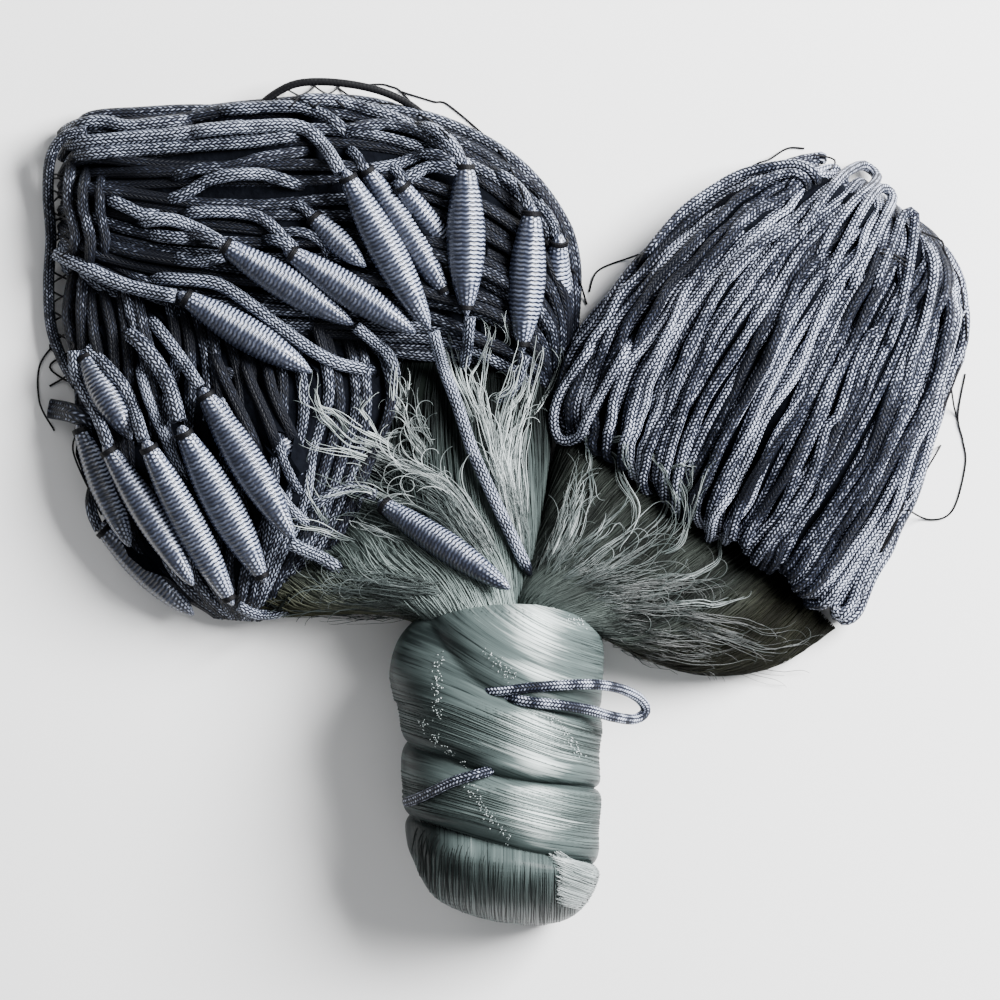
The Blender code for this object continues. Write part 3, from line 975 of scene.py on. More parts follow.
@dataclass(frozen=True)
class Rope:
    """A run of line that is laid over the heap: its way on the plan, and the node it stands for."""

    route: Route
    radius: float = FLOAT_LINE_RADIUS
    tone: float = 0.6
    tuck: float = 6.0
    raised: float = 0.0  # over what is laid later
    node: Optional[str] = None


@dataclass
class Maker:
    """A part of the net that is built with a source of chance of its own."""

    seed: int = 0

    def __post_init__(self) -> None:
        """Starts its source of chance."""
        self.chance = np.random.default_rng(self.seed)

    def wander(self, places: Array, size: float, waves: float) -> Array:
        """A gentle drift to either side along a line.

        Args:
            places: how far along the line its points are, from 0 to 1.
            size: of the drift, about.
            waves: how many there are.

        Returns:
            How far each point drifts.
        """
        found = np.zeros(len(places))
        for k in range(1, 4):
            turns = waves * k * self.chance.uniform(0.6, 1.3)
            wave = np.sin(2 * math.pi * (places * turns + self.chance.random()))
            found += wave * self.chance.normal() / k
        return found * size * 0.6

    def rope_strand(
        self, rope: Rope, points: Array, held: Sequence[bool], stitch: float
    ) -> Strand:
        """A rope's line, slim and darkened as painted shade where an end goes down into the heap.

        Args:
            rope: the rope.
            points: where it was laid.
            held: whether each of its ends is held.
            stitch: the length of a stitch.

        Returns:
            The line.
        """
        lengths = arc_lengths(points)
        deep = np.zeros(len(points))
        for holds, away in zip(held, (lengths, lengths[-1] - lengths)):
            if not holds and rope.tuck > 0:
                deep = np.maximum(deep, fade(away, 7.0))
        tone = rope.tone + self.wander(lengths / lengths[-1], 0.12, lengths[-1] / 30.0)
        # painted shade where an end goes down into the heap
        return Strand(points, rope.radius * (1 - 0.55 * deep**2), tone - 1.2 * deep, stitch)


# --- the lead line ------------------------------------------------------------------------------


@dataclass
class LeadLine(Maker):
    """The lead line's lobe: one line folded back and forth, with its bights at the far end."""

    stations: Route = (
        (30, 22, 134, -46, 14, 6), (23, 34, 141, -46, 27, 8), (25, 46, 151, -28, 37, 9),
        (34, 68, 166, -2, 47, 10), (53, 92, 177, 33, 52, 11), (77, 113, 183, 64, 50, 11),
        (97, 124, 183, 80, 43, 10), (111, 130, 180, 92, 33, 9), (124, 134, 172, 103, 20, 7),
        (131, 135, 165, 108, 8, 4),
    )
    bights: Tuple[Rope, ...] = (
        Rope(((56, 95), (72, 114.4), (86, 124.8), (98, 131.2), (114.4, 134.4), (121.6, 133.6),
             (126.4, 129.6), (127, 124)), LEAD_LINE_RADIUS, 0.55),
        Rope(((96, 120), (106, 128), (117, 130.8), (122.4, 127.6), (123, 122)), 2.0, 0.45),
        Rope(((116, 100), (126, 116), (136, 128.8), (143.2, 134), (147.2, 134.8), (151.6, 131.2),
             (150.4, 127.2), (140, 118), (132, 107.2), (124, 92)), LEAD_LINE_RADIUS),
        Rope(((128, 84), (138, 104), (146, 118), (152, 124.8), (156, 124), (157.2, 120), (152, 110),
             (144, 94), (138, 80)), LEAD_LINE_RADIUS, 0.7),
        Rope(((147.2, 80), (152, 92), (157.2, 104), (161.2, 113.6), (165.6, 114.4), (164.8, 104),
             (162, 88), (158, 72), (152, 56)), LEAD_LINE_RADIUS, 0.5),
        Rope(((168.8, 105.2), (172.8, 95.2), (172, 84), (168, 68), (160, 48)), LEAD_LINE_RADIUS,
             0.65),
        Rope(((40, 66), (30, 52), (24, 42), (21.6, 33.2), (23.2, 25.2), (28, 23.6), (32.4, 26),
             (34.4, 30.8), (39.2, 40), (46, 52), (54, 66)), LEAD_LINE_RADIUS, 0.75),
    )
    under: int = 33
    folds: int = 21
    radius: float = LEAD_LINE_RADIUS
    step: float = 2.6
    stitch: float = 1.75
    edge: float = 0.012  # how near a line comes to the lobe's foot, as a share of the lobe's girth
    sunk: float = 3.0  # how deep a line's ends lie
    sink: float = 4.4  # how far below the lobe's surface the first line lies
    under_tones: Pair = (0.4, 0.7)
    fold_tones: Pair = (0.2, 0.9)
    seed: int = 4

    def __post_init__(self) -> None:
        """Starts its source of chance, and works out the lobe's surface."""
        super().__post_init__()
        self.heap = Heap(self.stations, sink=self.sink)

    def lay(self, w: Array, v: Array) -> Array:
        """Lays a line over the others, with its ends sunk between them.

        Args:
            w: how far across the heap.
            v: how far along it.

        Returns:
            Its points, each with the line's radius there.
        """
        w = np.clip(w, self.edge, 1 - self.edge)
        radius = self.radius * (1 + self.wander(v, 0.05, 9.0))
        lift = self.heap.stack(w, v, self.radius)
        ends = np.minimum(np.arange(len(w)), np.arange(len(w))[::-1])
        points = self.heap.place(w, v, lift - self.sunk * fade(ends, 4))
        return np.column_stack([above(points, self.radius), radius])

    def under_line(self, place: float) -> Strand:
        """A run of the line that lies deep.

        Args:
            place: how far across the heap it lies, from 0 to 1.

        Returns:
            The line.
        """
        count = int(self.heap.length / self.step)
        v = np.linspace(self.chance.uniform(0.0, 0.05), self.chance.uniform(0.9, 1.0), count)
        laid = self.lay(place + self.wander(v, 0.018, 1.4), v)
        return Strand(laid[:, :3], laid[:, 3], self.chance.uniform(*self.under_tones), self.stitch)

    def fold(self, place: float) -> Strand:
        """One fold of the line: out, round its bight and back, with a bight below too.

        Args:
            place: how far across the heap it lies, from 0 to 1.

        Returns:
            The line.
        """
        gap = self.chance.uniform(0.8, 1.7) / (2 * self.folds)
        turn = 1 - self.chance.random() ** 1.6 * 0.2
        start = self.chance.uniform(0.025, 0.12)
        count = int(self.heap.length * (turn - start) / self.step)
        out = np.linspace(start, turn, count)
        girth = self.heap.across_cell.mean() * self.heap.columns
        half_width = gap * girth / 2 / self.heap.length
        bend = np.linspace(0, math.pi, 9)[1:-1]
        low = np.linspace(0, math.pi / 2, 5)[:-1]
        v = np.concatenate([
            start - np.cos(low) * half_width, out, turn + np.sin(bend) * half_width, out[::-1],
            start - np.cos(low[::-1]) * half_width])
        w = place + gap / 2 * np.concatenate([
            -np.sin(low), np.full(count, -1.0), -np.cos(bend), np.full(count, 1.0), np.sin(low[::-1])])
        w = w + self.wander(v, 0.017, 1.0) + self.wander(v, 0.005, 5.0)
        lean = self.wander(v, 0.009, 1.6) * np.sin(math.pi * np.clip(v, 0, 1))
        laid = self.lay(w + lean * np.sign(w - place), v)
        tone = self.chance.uniform(*self.fold_tones) + self.wander(v, 0.3, 3.0)
        return Strand(laid[:, :3], laid[:, 3], tone, self.stitch)

    def build(self, pile: Pile) -> None:
        """Adds the lobe's folds and its inside.

        Args:
            pile: what has been laid so far.
        """
        inside("lead_line_inside", "lead_line", 5.0, Finish.LINE_SHADE, "lead_line")
        under_places = (self.chance.permutation(self.under) + 0.5) / self.under
        deep = [self.under_line(place) for place in under_places]
        fold_places = (self.chance.permutation(self.folds) + 0.5) / self.folds
        folds = [self.fold(place) for place in fold_places]
        for strand in deep + folds:
            pile.add(strand.points, self.radius)
        for rope in self.bights:
            points = pile.lay(rope.route, rope.radius)
            folds.append(self.rope_strand(rope, points, (False, False), self.stitch))
        tubes("lead_line_under", deep, 8, Finish.LEAD_LINE, "lead_line")
        tubes("lead_line_folds", folds, 9, Finish.LEAD_LINE, "lead_line")


# --- the float line -----------------------------------------------------------------------------


@dataclass
class FloatPlace:
    """Where a float lies: its two tips and its radius, read from its solid."""

    node: str
    head: Array
    tail: Array
    radius: float

    @property
    def length(self) -> float:
        """How far apart its tips are."""
        return float(np.linalg.norm(self.tail - self.head))

    @property
    def axis(self) -> Array:
        """The direction from its head to its tail."""
        return (self.tail - self.head) / self.length

    @classmethod
    def read(cls, node: str) -> "FloatPlace":
        """Finds the two points of the solid that lie farthest apart, and its greatest radius.

        Args:
            node: the float's CAD node.

        Returns:
            The float's place.
        """
        corners = np.array([v.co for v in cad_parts[node].data.vertices]) / MM + (*ORIGIN, 0.0)
        first = corners[np.argmax(np.linalg.norm(corners - corners.mean(axis=0), axis=1))]
        second = corners[np.argmax(np.linalg.norm(corners - first, axis=1))]
        head, tail = (first, second) if first[1] > second[1] else (second, first)
        axis = (tail - head) / np.linalg.norm(tail - head)
        away = (corners - head) - np.outer((corners - head) @ axis, axis)
        return cls(node, head, tail, float(np.linalg.norm(away, axis=1).max()))


@dataclass
class Floats(Maker):
    """The floats, each a slim spindle in a ribbed sleeve that runs on as line at both tips."""

    count: int = 19
    overhang: float = 3.0
    thickness: float = 1.06  # over its solid
    fullness: float = 0.8
    taper: float = 0.5  # past its tips, a millimetre
    sag: float = 0.12
    rings: int = 150
    sides: int = 24
    rib_height: float = 0.3
    stitch: float = 1.75
    tones: Pair = (0.3, 0.48)
    seed: int = 21

    def places(self) -> List[FloatPlace]:
        """Where the floats lie."""
        return [FloatPlace.read(f"float_{k:02d}") for k in range(1, self.count + 1)]

    def sleeve(self, place: FloatPlace, tone: float) -> Strand:
        """The sleeve of one float.

        Args:
            place: where the float lies.
            tone: how pale it is.

        Returns:
            The sleeve.
        """
        end = 1 + 2 * self.overhang / place.length
        t = np.linspace(-end, end, self.rings)
        points = (place.head + place.tail) / 2 + np.outer(t * place.length / 2, place.axis)
        swell = np.maximum(np.cos(np.clip(t, -1, 1) * math.pi / 2), 0) ** self.fullness
        beyond = np.maximum(np.abs(t) - 1, 0) * place.length / 2
        points[:, 2] -= beyond**2 * self.sag
        radius = FLOAT_TIP_RADIUS + (place.radius * self.thickness - FLOAT_TIP_RADIUS) * swell
        radius += FLOAT_HEAD_EXTRA * np.clip(-t, 0, 1) * (1 - swell) - self.taper * beyond
        shown = swell ** np.where(t < 0, 0.3, 0.5)
        return Strand(points, radius, tone, self.stitch, shown, ribs=self.rib_height)

    def build(self, places: Sequence[FloatPlace]) -> None:
        """Adds a piece for each float.

        Args:
            places: where the floats lie.
        """
        for place in places:
            name = place.node.replace("float", "float_sleeve")
            strand = self.sleeve(place, self.chance.uniform(*self.tones))
            tubes(name, [strand], self.sides, Finish.FLOAT_COVER, "float_cover", place.node)


@dataclass
class FloatLine(Maker):
    """The float line's lobe: dark line deep in the heap, and the runs that lie on it."""

    upper: Route = (
        (-174, 96, -174, 142, 6, 4), (-170, 92, -170, 146, 15, 6), (-160, 78, -162, 153, 24, 8),
        (-130, 66, -138, 156, 33, 9), (-92, 58, -98, 159, 38, 9), (-52, 56, -54, 160, 40, 9),
        (-24, 56, -14, 147, 38, 9), (-2, 50, 14, 128, 33, 9), (10, 48, 27, 100, 26, 8),
        (14, 44, 27, 70, 14, 6), (15, 42, 25, 62, 6, 4),
    )
    lower: Route = (
        (-172, 92, -70, 92, 18, 7), (-175, 74, -42, 74, 30, 8), (-172, 50, -36, 44, 34, 9),
        (-168, 24, -44, 16, 33, 9), (-160, -2, -56, -12, 30, 9), (-147, -22, -72, -30, 25, 8),
        (-131, -35, -84, -41, 18, 7), (-118, -43, -94, -45, 10, 5), (-114, -46, -98, -47, 5, 4),
    )
    ropes: Tuple[Rope, ...] = (
        # along the upper edge
        Rope(((-178, 148), (-168, 151), (-160, 152), (-149, 150), (-138, 151), (-122, 153))),
        Rope(((-176, 143), (-160, 144), (-146, 145), (-132, 146), (-115, 148), (-98, 150)), 2.9,
             0.7),
        Rope(((-173, 138), (-160, 139), (-146, 140), (-132, 141), (-116, 142), (-100, 143),
             (-86, 145), (-76, 146))),
        Rope(((-116, 156), (-100, 157), (-83, 157.5), (-73, 155), (-66, 151), (-58, 143))),
        Rope(((-84, 160), (-66, 160), (-52, 156), (-38, 151), (-27, 144), (-18, 134))),
        # under and beside the upper floats
        Rope(((-134, 128), (-121, 132), (-107, 133), (-97, 136), (-86, 138), (-73, 140)), 2.4,
             0.35),
        Rope(((-136, 119), (-126, 122), (-115, 128), (-100, 130), (-91, 129), (-76, 124))),
        Rope(((-66, 146), (-52, 150), (-38, 149), (-27, 144), (-17, 136)), 2.3, 0.4),
        Rope(((-52, 132), (-41, 134), (-30, 138), (-18, 136)), 2.4, 0.5),
        Rope(((-46, 122), (-36, 129), (-27, 133), (-17, 131))),
        # across the middle
        Rope(((-160, 122), (-149, 117), (-142, 114), (-132, 115))),
        Rope(((-146, 111), (-132, 112), (-121, 108), (-112, 103)), 2.8, 0.8),
        Rope(((-129, 114), (-115, 115), (-100, 114), (-92, 110), (-82, 100)), 2.5),
        Rope(((-143, 107), (-132, 105), (-118, 104))),
        Rope(((-134, 97), (-120, 95), (-110, 97)), 2.4, 0.5),
        Rope(((-90, 104), (-83, 107), (-74, 105), (-69, 99), (-72, 92)), 2.0, 0.5),
        # those with a solid of their own
        Rope(((-178, 99), (-166, 93), (-150, 86), (-138, 83), (-129.5, 81.4)), 2.9, 0.75, 0.0,
             node="line_front_feed"),
        Rope(((-142, 89), (-126, 88), (-112, 86), (-98, 77), (-82, 64.5), (-66, 55), (-49, 51.5)),
             2.7, 0.75, node="line_front_return"),
        Rope(((-126, 147), (-100, 149), (-80, 149), (-70, 141), (-63.4, 130.4)), 2.8, 0.75,
             node="line_bend_to_first"),
        Rope(((-57.4, 69), (-50, 63), (-44, 57), (-41, 46)), 2.5, 0.65, node="line_third_tail"),
        Rope(((-26.4, 67), (-23, 54), (-17, 38), (-11, 20), (-4, 4), (4, -13), (12, -30)), 2.5,
             0.85, 3.0, 3.5, node="line_waist_lead"),
        Rope(((-12, 73), (-13, 62), (-15, 50)), 2.4, node="line_upright_tail"),
        Rope(((10, 58), (7, 48), (2, 41), (-6, 39)), 2.3, 0.55, node="line_right_tail"),
        Rope(((-152, 67), (-146, 65), (-138, 56), (-132, 45), (-128, 31.6)), 3.3,
             node="line_fat_feed"),
        Rope(((-142, 75), (-133, 64), (-125, 53), (-119.8, 45.2)), 2.6, 0.7,
             node="line_inner_feed"),
        Rope(((-166, 61), (-158, 54), (-151, 46), (-147, 38), (-142, 24)), 2.7,
             node="line_low_feed"),
        Rope(((-145, 56), (-141, 42), (-136.5, 31), (-132.8, 23), (-128.3, 13), (-123.5, 5)), 2.2,
             0.8, node="line_between"),
        Rope(((-80, -6), (-68, 2), (-58, 4.5), (-49.6, 1.6)), 2.4, node="line_arc"),
        Rope(((-84, -17), (-78, -20), (-70, -24), (-60, -31)), 2.8, 0.7, node="line_tail_end"),
        Rope(((-104.6, -42.4), (-97, -46), (-88, -45), (-81, -40)), 2.2, node="line_bottom_bight"),
        Rope(((-182, 37), (-174, 35.5), (-168, 33.5), (-163, 31.5)), 4.0, 0.3, 0.0,
             node="line_left_stub"),
        # by the lower floats
        Rope(((-171, 60), (-170, 50), (-166, 42), (-161, 33), (-156.5, 22))),
        Rope(((-112, 40), (-101, 21), (-92, 8), (-84, -3), (-74, -12)), 2.1, 0.8),
        Rope(((-98, 38), (-90, 26), (-84, 10), (-78, 0)), 2.0),
        # in the hollow between the floats and the netting, dark as painted shade
        Rope(((-116, 62), (-108, 44), (-101, 30), (-95, 16)), 2.3, 0.02),
        Rope(((-104, 60), (-99, 46), (-92, 30), (-88, 18)), 2.3, -0.05),
        Rope(((-94, 58), (-91, 44), (-86, 32), (-80, 20)), 2.3, 0.0),
        # down the left edge
        Rope(((-172, 138), (-173, 120), (-170, 106), (-172, 96)), 2.4, 0.3),
        Rope(((-166, 134), (-167, 118), (-164, 104), (-165, 92)), 2.4, 0.25),
        Rope(((-160, 132), (-160, 116), (-158, 104), (-159, 94)), 2.2, 0.25),
        # from the floats' heads
        Rope(((-54.5, 131.5), (-57, 137), (-63, 142)), 2.3, 0.5),
        Rope(((-38.2, 126.3), (-41, 131), (-47, 135)), 2.3, 0.5),
        Rope(((-15.5, 134), (-18, 140), (-25, 147), (-34, 150)), 2.6, 0.7),
        Rope(((11.4, 116), (10, 121), (5, 127), (-5, 133)), 2.4),
        Rope(((21.8, 105), (21, 111), (15, 119)), 2.2, 0.5),
        Rope(((-83, 100), (-88, 103), (-97, 105)), 2.3),
        Rope(((-110.5, 102), (-116, 105), (-126, 107)), 2.4),
        Rope(((-75, 113), (-79, 117), (-87, 119)), 2.2, 0.5),
        Rope(((-161, -12), (-164, -5), (-165, 5)), 2.3, 0.5),
        Rope(((-102, 45.5), (-106, 50), (-113, 53)), 2.2, 0.5),
    )
    hollows: Route = (  # middle and half size of the places darkened as painted shade, nearly black
        (-122, 137, 18, 4), (-136, 123, 12, 4), (-140, 94, 18, 3.5), (-100, 44, 12, 10),
        (-66, 72, 6, 4), (-130, 66, 10, 6), (-66, 64, 14, 4), (-2, 47, 7, 6),
    )
    base_count: int = 27
    base_radius: float = 2.5
    base_step: float = 3.2
    base_tones: Pair = (0.05, 0.6)
    sink: float = 4.2  # how far below the lobe's surface the first line lies
    sides: int = 10
    grip: float = 6.0  # how near a float's tip a line's end is held by it
    stitch: float = 2.1
    seed: int = 6

    def dimmed(self, points: Array) -> Array:
        """How much painted shade darkens a line at each point, from 0 to 1 in the middle of a hollow.

        Args:
            points: the line's points.

        Returns:
            A number for each point.
        """
        dim = np.zeros(len(points))
        for x, y, half_x, half_y in self.hollows:
            away = ((points[:, 0] - x) / half_x) ** 2 + ((points[:, 1] - y) / half_y) ** 2
            dim = np.maximum(dim, np.clip(1.6 - away, 0, 1))
        return dim

    def deep_lines(self, stations: Route, ceiling: float) -> List[Strand]:
        """Line folded deep in one heap, in low tones as painted shade, showing as dark runs between the
        others.

        Args:
            stations: the heap's sections.
            ceiling: how high above its surface line may lie.

        Returns:
            The lines.
        """
        heap = Heap(stations, sink=self.sink, ceiling=ceiling)
        v = np.linspace(0, 1, int(heap.length / self.base_step))
        strands = []
        for k in self.chance.permutation(self.base_count):
            w = np.clip((k + 0.5) / self.base_count + self.wander(v, 0.02, 1.5), 0.02, 0.98)
            points = above(heap.place(w, v, heap.stack(w, v, self.base_radius)), self.base_radius)
            # low tones: painted shade for line that lies deep
            tone = self.chance.uniform(*self.base_tones) + self.wander(v, 0.15, 2.0)
            # painted shade in the hollows
            tone = tone - self.dimmed(points)
            strands.append(Strand(points, self.base_radius, tone, self.stitch))
        return strands

    def build(self, pile: Pile, places: Sequence[FloatPlace]) -> None:
        """Adds the lobe's lines and its inside.

        Args:
            pile: what has been laid so far.
            places: where the floats lie.
        """
        inside("float_line_inside", "float_line", 3.5, Finish.LINE_SHADE, "float_line")
        for name, stations, ceiling in (("upper", self.upper, 2.5), ("lower", self.lower, 0.0)):
            strands = self.deep_lines(stations, ceiling)
            tubes(f"float_line_{name}_lines", strands, 8, Finish.FLOAT_LINE, "float_line")
            for strand in strands:
                pile.add(strand.points, self.base_radius)
        tips = np.array([tip for place in places for tip in (place.head, place.tail)])
        runs = []
        for rope in self.ropes:
            held = []
            for end in (rope.route[0], rope.route[-1]):
                away = np.linalg.norm(tips[:, :2] - end[:2], axis=1)
                near = int(np.argmin(away))
                held.append(float(tips[near, 2]) if away[near] < self.grip else None)
            points = pile.lay(rope.route, rope.radius, ends=held, tuck=rope.tuck, raised=rope.raised)
            strand = self.rope_strand(rope, points, [end is not None for end in held], self.stitch)
            if rope.node:
                piece = f"float_{rope.node}"
                tubes(piece, [strand], self.sides, Finish.FLOAT_LINE, "float_line", rope.node)
            else:
                runs.append(strand)
        tubes("float_line_runs", runs, self.sides, Finish.FLOAT_LINE, "float_line")


# --- the netting --------------------------------------------------------------------------------


@dataclass
class Handle(Maker):
    """The handle: bunched netting wound in turns that lie against each other."""

    turns: Route = (  # along, middle, half width, height, degrees wound
        (-40, 2, 24, 44, 10), (-45, 2, 34, 62, -15), (-55, 0, 41, 70, -46),
        (-68, -1.5, 43, 74, -70), (-78, -1, 42, 74, -95), (-83, 0, 41, 74, -150),
        (-92, 0.6, 40.5, 74, -300), (-100, 0, 40, 73, -395), (-106, 0, 40, 73, -428),
        (-111, 0.5, 40, 72, -465), (-114, 0.8, 40, 72, -520), (-121, 0.8, 40, 71, -650),
        (-128, 0.6, 39.5, 70, -745), (-133, 0.8, 39, 69, -785), (-139, 1.5, 38.5, 68, -825),
        (-144, 2.5, 37.5, 67, -880), (-151, 4, 36, 64, -980), (-160, 5, 31, 54, -1050),
        (-166, 8, 23, 40, -1075), (-169.5, 11, 14, 26, -1085), (-171.5, 14, 3, 10, -1090),
    )
    groove: float = 0.2
    sharpness: float = 3.6
    axis: float = 0.47
    rise: float = 0.53
    ends: Pair = (-41.0, -171.4)
    rings: int = 220
    sides: int = 120
    skin_depth: float = 0.25
    unrolled: float = 38.0  # how wide the skin's pattern is, for each radian round it
    hollow: Tuple[float, ...] = (-33.0, -135.0, 8.0, 7.0)  # a place on the end darkened as painted shade: its middle and half size
    sheen_at: Pair = (14.0, 10.0)  # the painted highlight streak: its middle and half width
    dim_left: Pair = (-6.0, 26.0)  # where painted shade starts on the left, and over how far
    # where painted shade starts on the right, and over how far
    dim_right: Pair = (27.0, 12.0)
    strands: int = 230
    strand_points: int = 40
    sweep: float = 1.7  # how far round a strand goes from the crown, in radians
    end_strands: int = 110
    end_span: Pair = (-36.0, 40.0)  # the filaments over the end, from left to right
    end_tip: float = -171.0
    waist: Pair = (1.0, 40.0)  # its middle and half width at the last groove
    pale_strands: int = 170
    pale_begin: Pair = (-161.0, -139.0)
    last_turn: float = -810.0  # where the winding stops, in degrees wound
    last_groove: float = -720.0
    knot_rows: Tuple[Tuple[Route, int], ...] = (
        (((-27, -62), (-26, -74), (-24, -87)), 34),
        (((-6, -60), (0, -65), (6, -70)), 20),
        (((20, -85), (26, -93), (32, -101)), 26),
        (((-31, -88), (-24, -97), (-15, -105)), 26),
        (((-12, -113), (-5, -124), (4, -135)), 34),
        (((26, -47), (30, -48), (34, -49)), 14),
    )
    seed: int = 8

    def __post_init__(self) -> None:
        """Starts its source of chance, and smooths the table of turns."""
        super().__post_init__()
        rows = smooth_rows(self.turns, 10)
        self.rows = rows[np.argsort(rows[:, 0])]

    def read(self, along: Array, column: int) -> Array:
        """One column of the table, along the handle."""
        return np.interp(along, self.rows[:, 0], self.rows[:, column])

    def surface(self, along: Array, angle: Array, lift: Any) -> Array:
        """Points on the handle, or a distance above it.

        Args:
            along: where they are along the handle.
            angle: how far round they are from its right side, in radians.
            lift: how far above it they are.

        Returns:
            The points.
        """
        wound = np.radians(self.read(along, 4))
        depth = self.groove * (0.35 + 0.65 * np.maximum(np.sin(angle), 0))
        swell = 1 - depth * (1 - np.abs(np.cos((angle - wound) / 2))) ** self.sharpness
        x = self.read(along, 1) + (self.read(along, 2) * swell + lift) * np.cos(angle)
        z = self.read(along, 3) * (self.axis + self.rise * swell * np.sin(angle)) + lift * np.sin(angle)
        return above(np.column_stack([x, along, z]), CLEARANCE)

    def tone(self, x: Array, crown: Any) -> Array:
        """How pale the winding is: painted shade at its sides and grooves, a painted highlight on
        crowns.

        Args:
            x: how far to the right.
            crown: 1 on the crown of a turn, and 0 in a groove.

        Returns:
            The tones.
        """
        left = np.clip((self.dim_left[0] - x) / self.dim_left[1], 0, 1)
        right = np.clip((x - self.dim_right[0]) / self.dim_right[1], 0, 1)
        sheen = np.exp(-((x - self.sheen_at[0]) / self.sheen_at[1]) ** 2)
        # painted highlight on the crowns, and painted shade at the sides and in the grooves
        return 0.44 - 0.19 * left - 0.15 * right + 0.56 * sheen * crown - 0.28 * (1 - crown) ** 2

    def skin(self) -> bpy.types.Object:
        """The bunch's surface: rings that start and end in the groove.

        Returns:
            The new object.
        """
        along = np.linspace(*self.ends, self.rings)
        turn = np.linspace(0, 2 * math.pi, self.sides + 1)
        wound = np.radians(self.read(along, 4))
        angle = wound[:, None] + math.pi - turn[None, :]
        rows = np.repeat(along[:, None], len(turn), axis=1)
        places = self.surface(rows.ravel(), angle.ravel(), -self.skin_depth).reshape(*rows.shape, 3)
        ended = angle <= math.radians(self.last_turn)
        off_crown = (1.5 * math.pi - angle) % (2 * math.pi) - math.pi
        flow = np.where(
            ended[..., None],
            np.dstack([rows, places[..., 0]]),
            np.dstack([off_crown * self.unrolled, rows + self.lean(rows, off_crown)]))
        x, y, half_x, half_y = self.hollow
        hollow = np.exp(-((places[..., 0] - x) / half_x) ** 2 - ((rows - y) / half_y) ** 2)
        crown = np.sin(turn / 2)[None, :] ** 0.7
        # painted shade in the hollow on the end, and the winding's painted light from tone
        tone = np.where(ended, 0.3 - 0.9 * hollow, self.tone(places[..., 0], crown))
        places[0] = places[0].mean(axis=0)
        places[-1] = places[-1].mean(axis=0)
        mesh = lofted_mesh("handle_skin", places, flow, {"tone": tone, "warmth": 0 * tone})
        return show("handle_skin", mesh, Finish.HANDLE_SKIN, "netting")

    @staticmethod
    def lean(along: Array, off_crown: Array) -> Array:
        """How far down the handle its filaments run as they go round it, from its crown."""
        return np.interp(along, (-140, -95, -50), (9, 16, 22)) * np.tanh(1.1 * off_crown) / 1.1

    def wound_strands(self) -> List[Strand]:
        """Filaments that run round the handle, and down it from groove to groove.

        Returns:
            The filaments.
        """
        found = []
        off_crown = np.linspace(-self.sweep, self.sweep, self.strand_points)
        drift = np.cumsum(self.chance.normal(size=self.strands)) * 0.12
        drift -= np.linspace(drift[0], drift[-1], self.strands)
        for k, middle in enumerate(np.linspace(-150, -38, self.strands)):
            along = middle + self.chance.normal() * 0.3 - self.lean(middle, off_crown)
            along = along + self.wander(off_crown / (2 * self.sweep), 0.3, 1.5)
            turn = (self.read(along, 4) + 90 + np.degrees(off_crown)) / 360
            number = np.floor(turn)
            wound = (90 - np.degrees(off_crown) + 360 * number > self.last_turn + 4) & (along < -43)
            for run in np.split(np.arange(len(along)), np.flatnonzero(np.diff(number)) + 1):
                run = run[wound[run]]
                if len(run) > 5:
                    crown = np.sin(math.pi * (turn[run] - number[run]))
                    lift = 0.1 - self.chance.uniform(0.15, 0.5) - 1.2 * (1 - crown ** 0.35)
                    points = self.surface(along[run], math.pi / 2 - off_crown[run], lift)
                    tone = self.tone(points[:, 0], crown) + 0.08 * math.tanh(drift[k])
                    tone = tone + 0.1 * self.chance.normal()
                    found.append(Strand(points, FILAMENT_RADIUS * self.chance.uniform(0.6, 1.0), tone))
        return found

    def fall(self, x: Array, along: Array, lift: Any) -> Array:
        """Points on the upper side of the handle, at places on the plan."""
        share = (x - self.read(along, 1)) / self.read(along, 2)
        return self.surface(along, np.arccos(np.clip(share, -1, 1)), lift)

    def end_cover(self) -> List[Strand]:
        """Filaments that run straight over the lower end, from the last groove.

        Returns:
            The filaments.
        """
        found = []
        for k in range(self.end_strands):
            left, right = self.end_span
            x = left + (right - left) * (k + self.chance.random()) / self.end_strands
            angle = math.degrees(math.acos((x - self.waist[0]) / self.waist[1]))
            groove = angle - 180 + self.last_groove
            begin = float(np.interp(groove, self.rows[:, 4], self.rows[:, 0]))
            along = np.linspace(begin + 1.5, self.end_tip, 22)
            along = along[np.abs(x - self.read(along, 1)) < 0.99 * self.read(along, 2)]
            share = np.linspace(0, 1, len(along))
            lift = -self.chance.uniform(0, 0.45) - 1.0 * (1 - share) ** 6
            points = self.fall(x + self.wander(share, 0.5, 0.8), along, lift)
            tone = 0.25 + 0.1 * math.sin(k * 0.21) * self.chance.random() + 0.06 * self.chance.normal()
            # darker towards the tip and on the left near the groove: painted shade
            tone = tone - 0.2 * share - 0.5 * max(0.0, (-12 - x) / 24) * (1 - share)
            found.append(Strand(points, FILAMENT_RADIUS * self.chance.uniform(0.7, 1.1), tone))
        return found

    def pale_bunch(self) -> List[Strand]:
        """The pale bunch that shows at the lower right.

        Returns:
            The filaments.
        """
        found = []
        for _ in range(self.pale_strands):
            begin = self.chance.uniform(*self.pale_begin)
            share = np.linspace(0, 1, 10)
            x = self.chance.uniform(22, 26) + (17 - 0.25 * (begin - self.pale_begin[1])) * share
            along = begin - 8.5 * share + self.wander(share, 0.3, 1)
            keep = np.abs(x - self.read(along, 1)) < 0.985 * self.read(along, 2)
            points = self.fall(x[keep], along[keep], self.chance.uniform(-0.2, 0.5))
            if len(points) > 3:
                found.append(Strand(points, FILAMENT_RADIUS, self.chance.uniform(0.4, 0.8)))
        return found

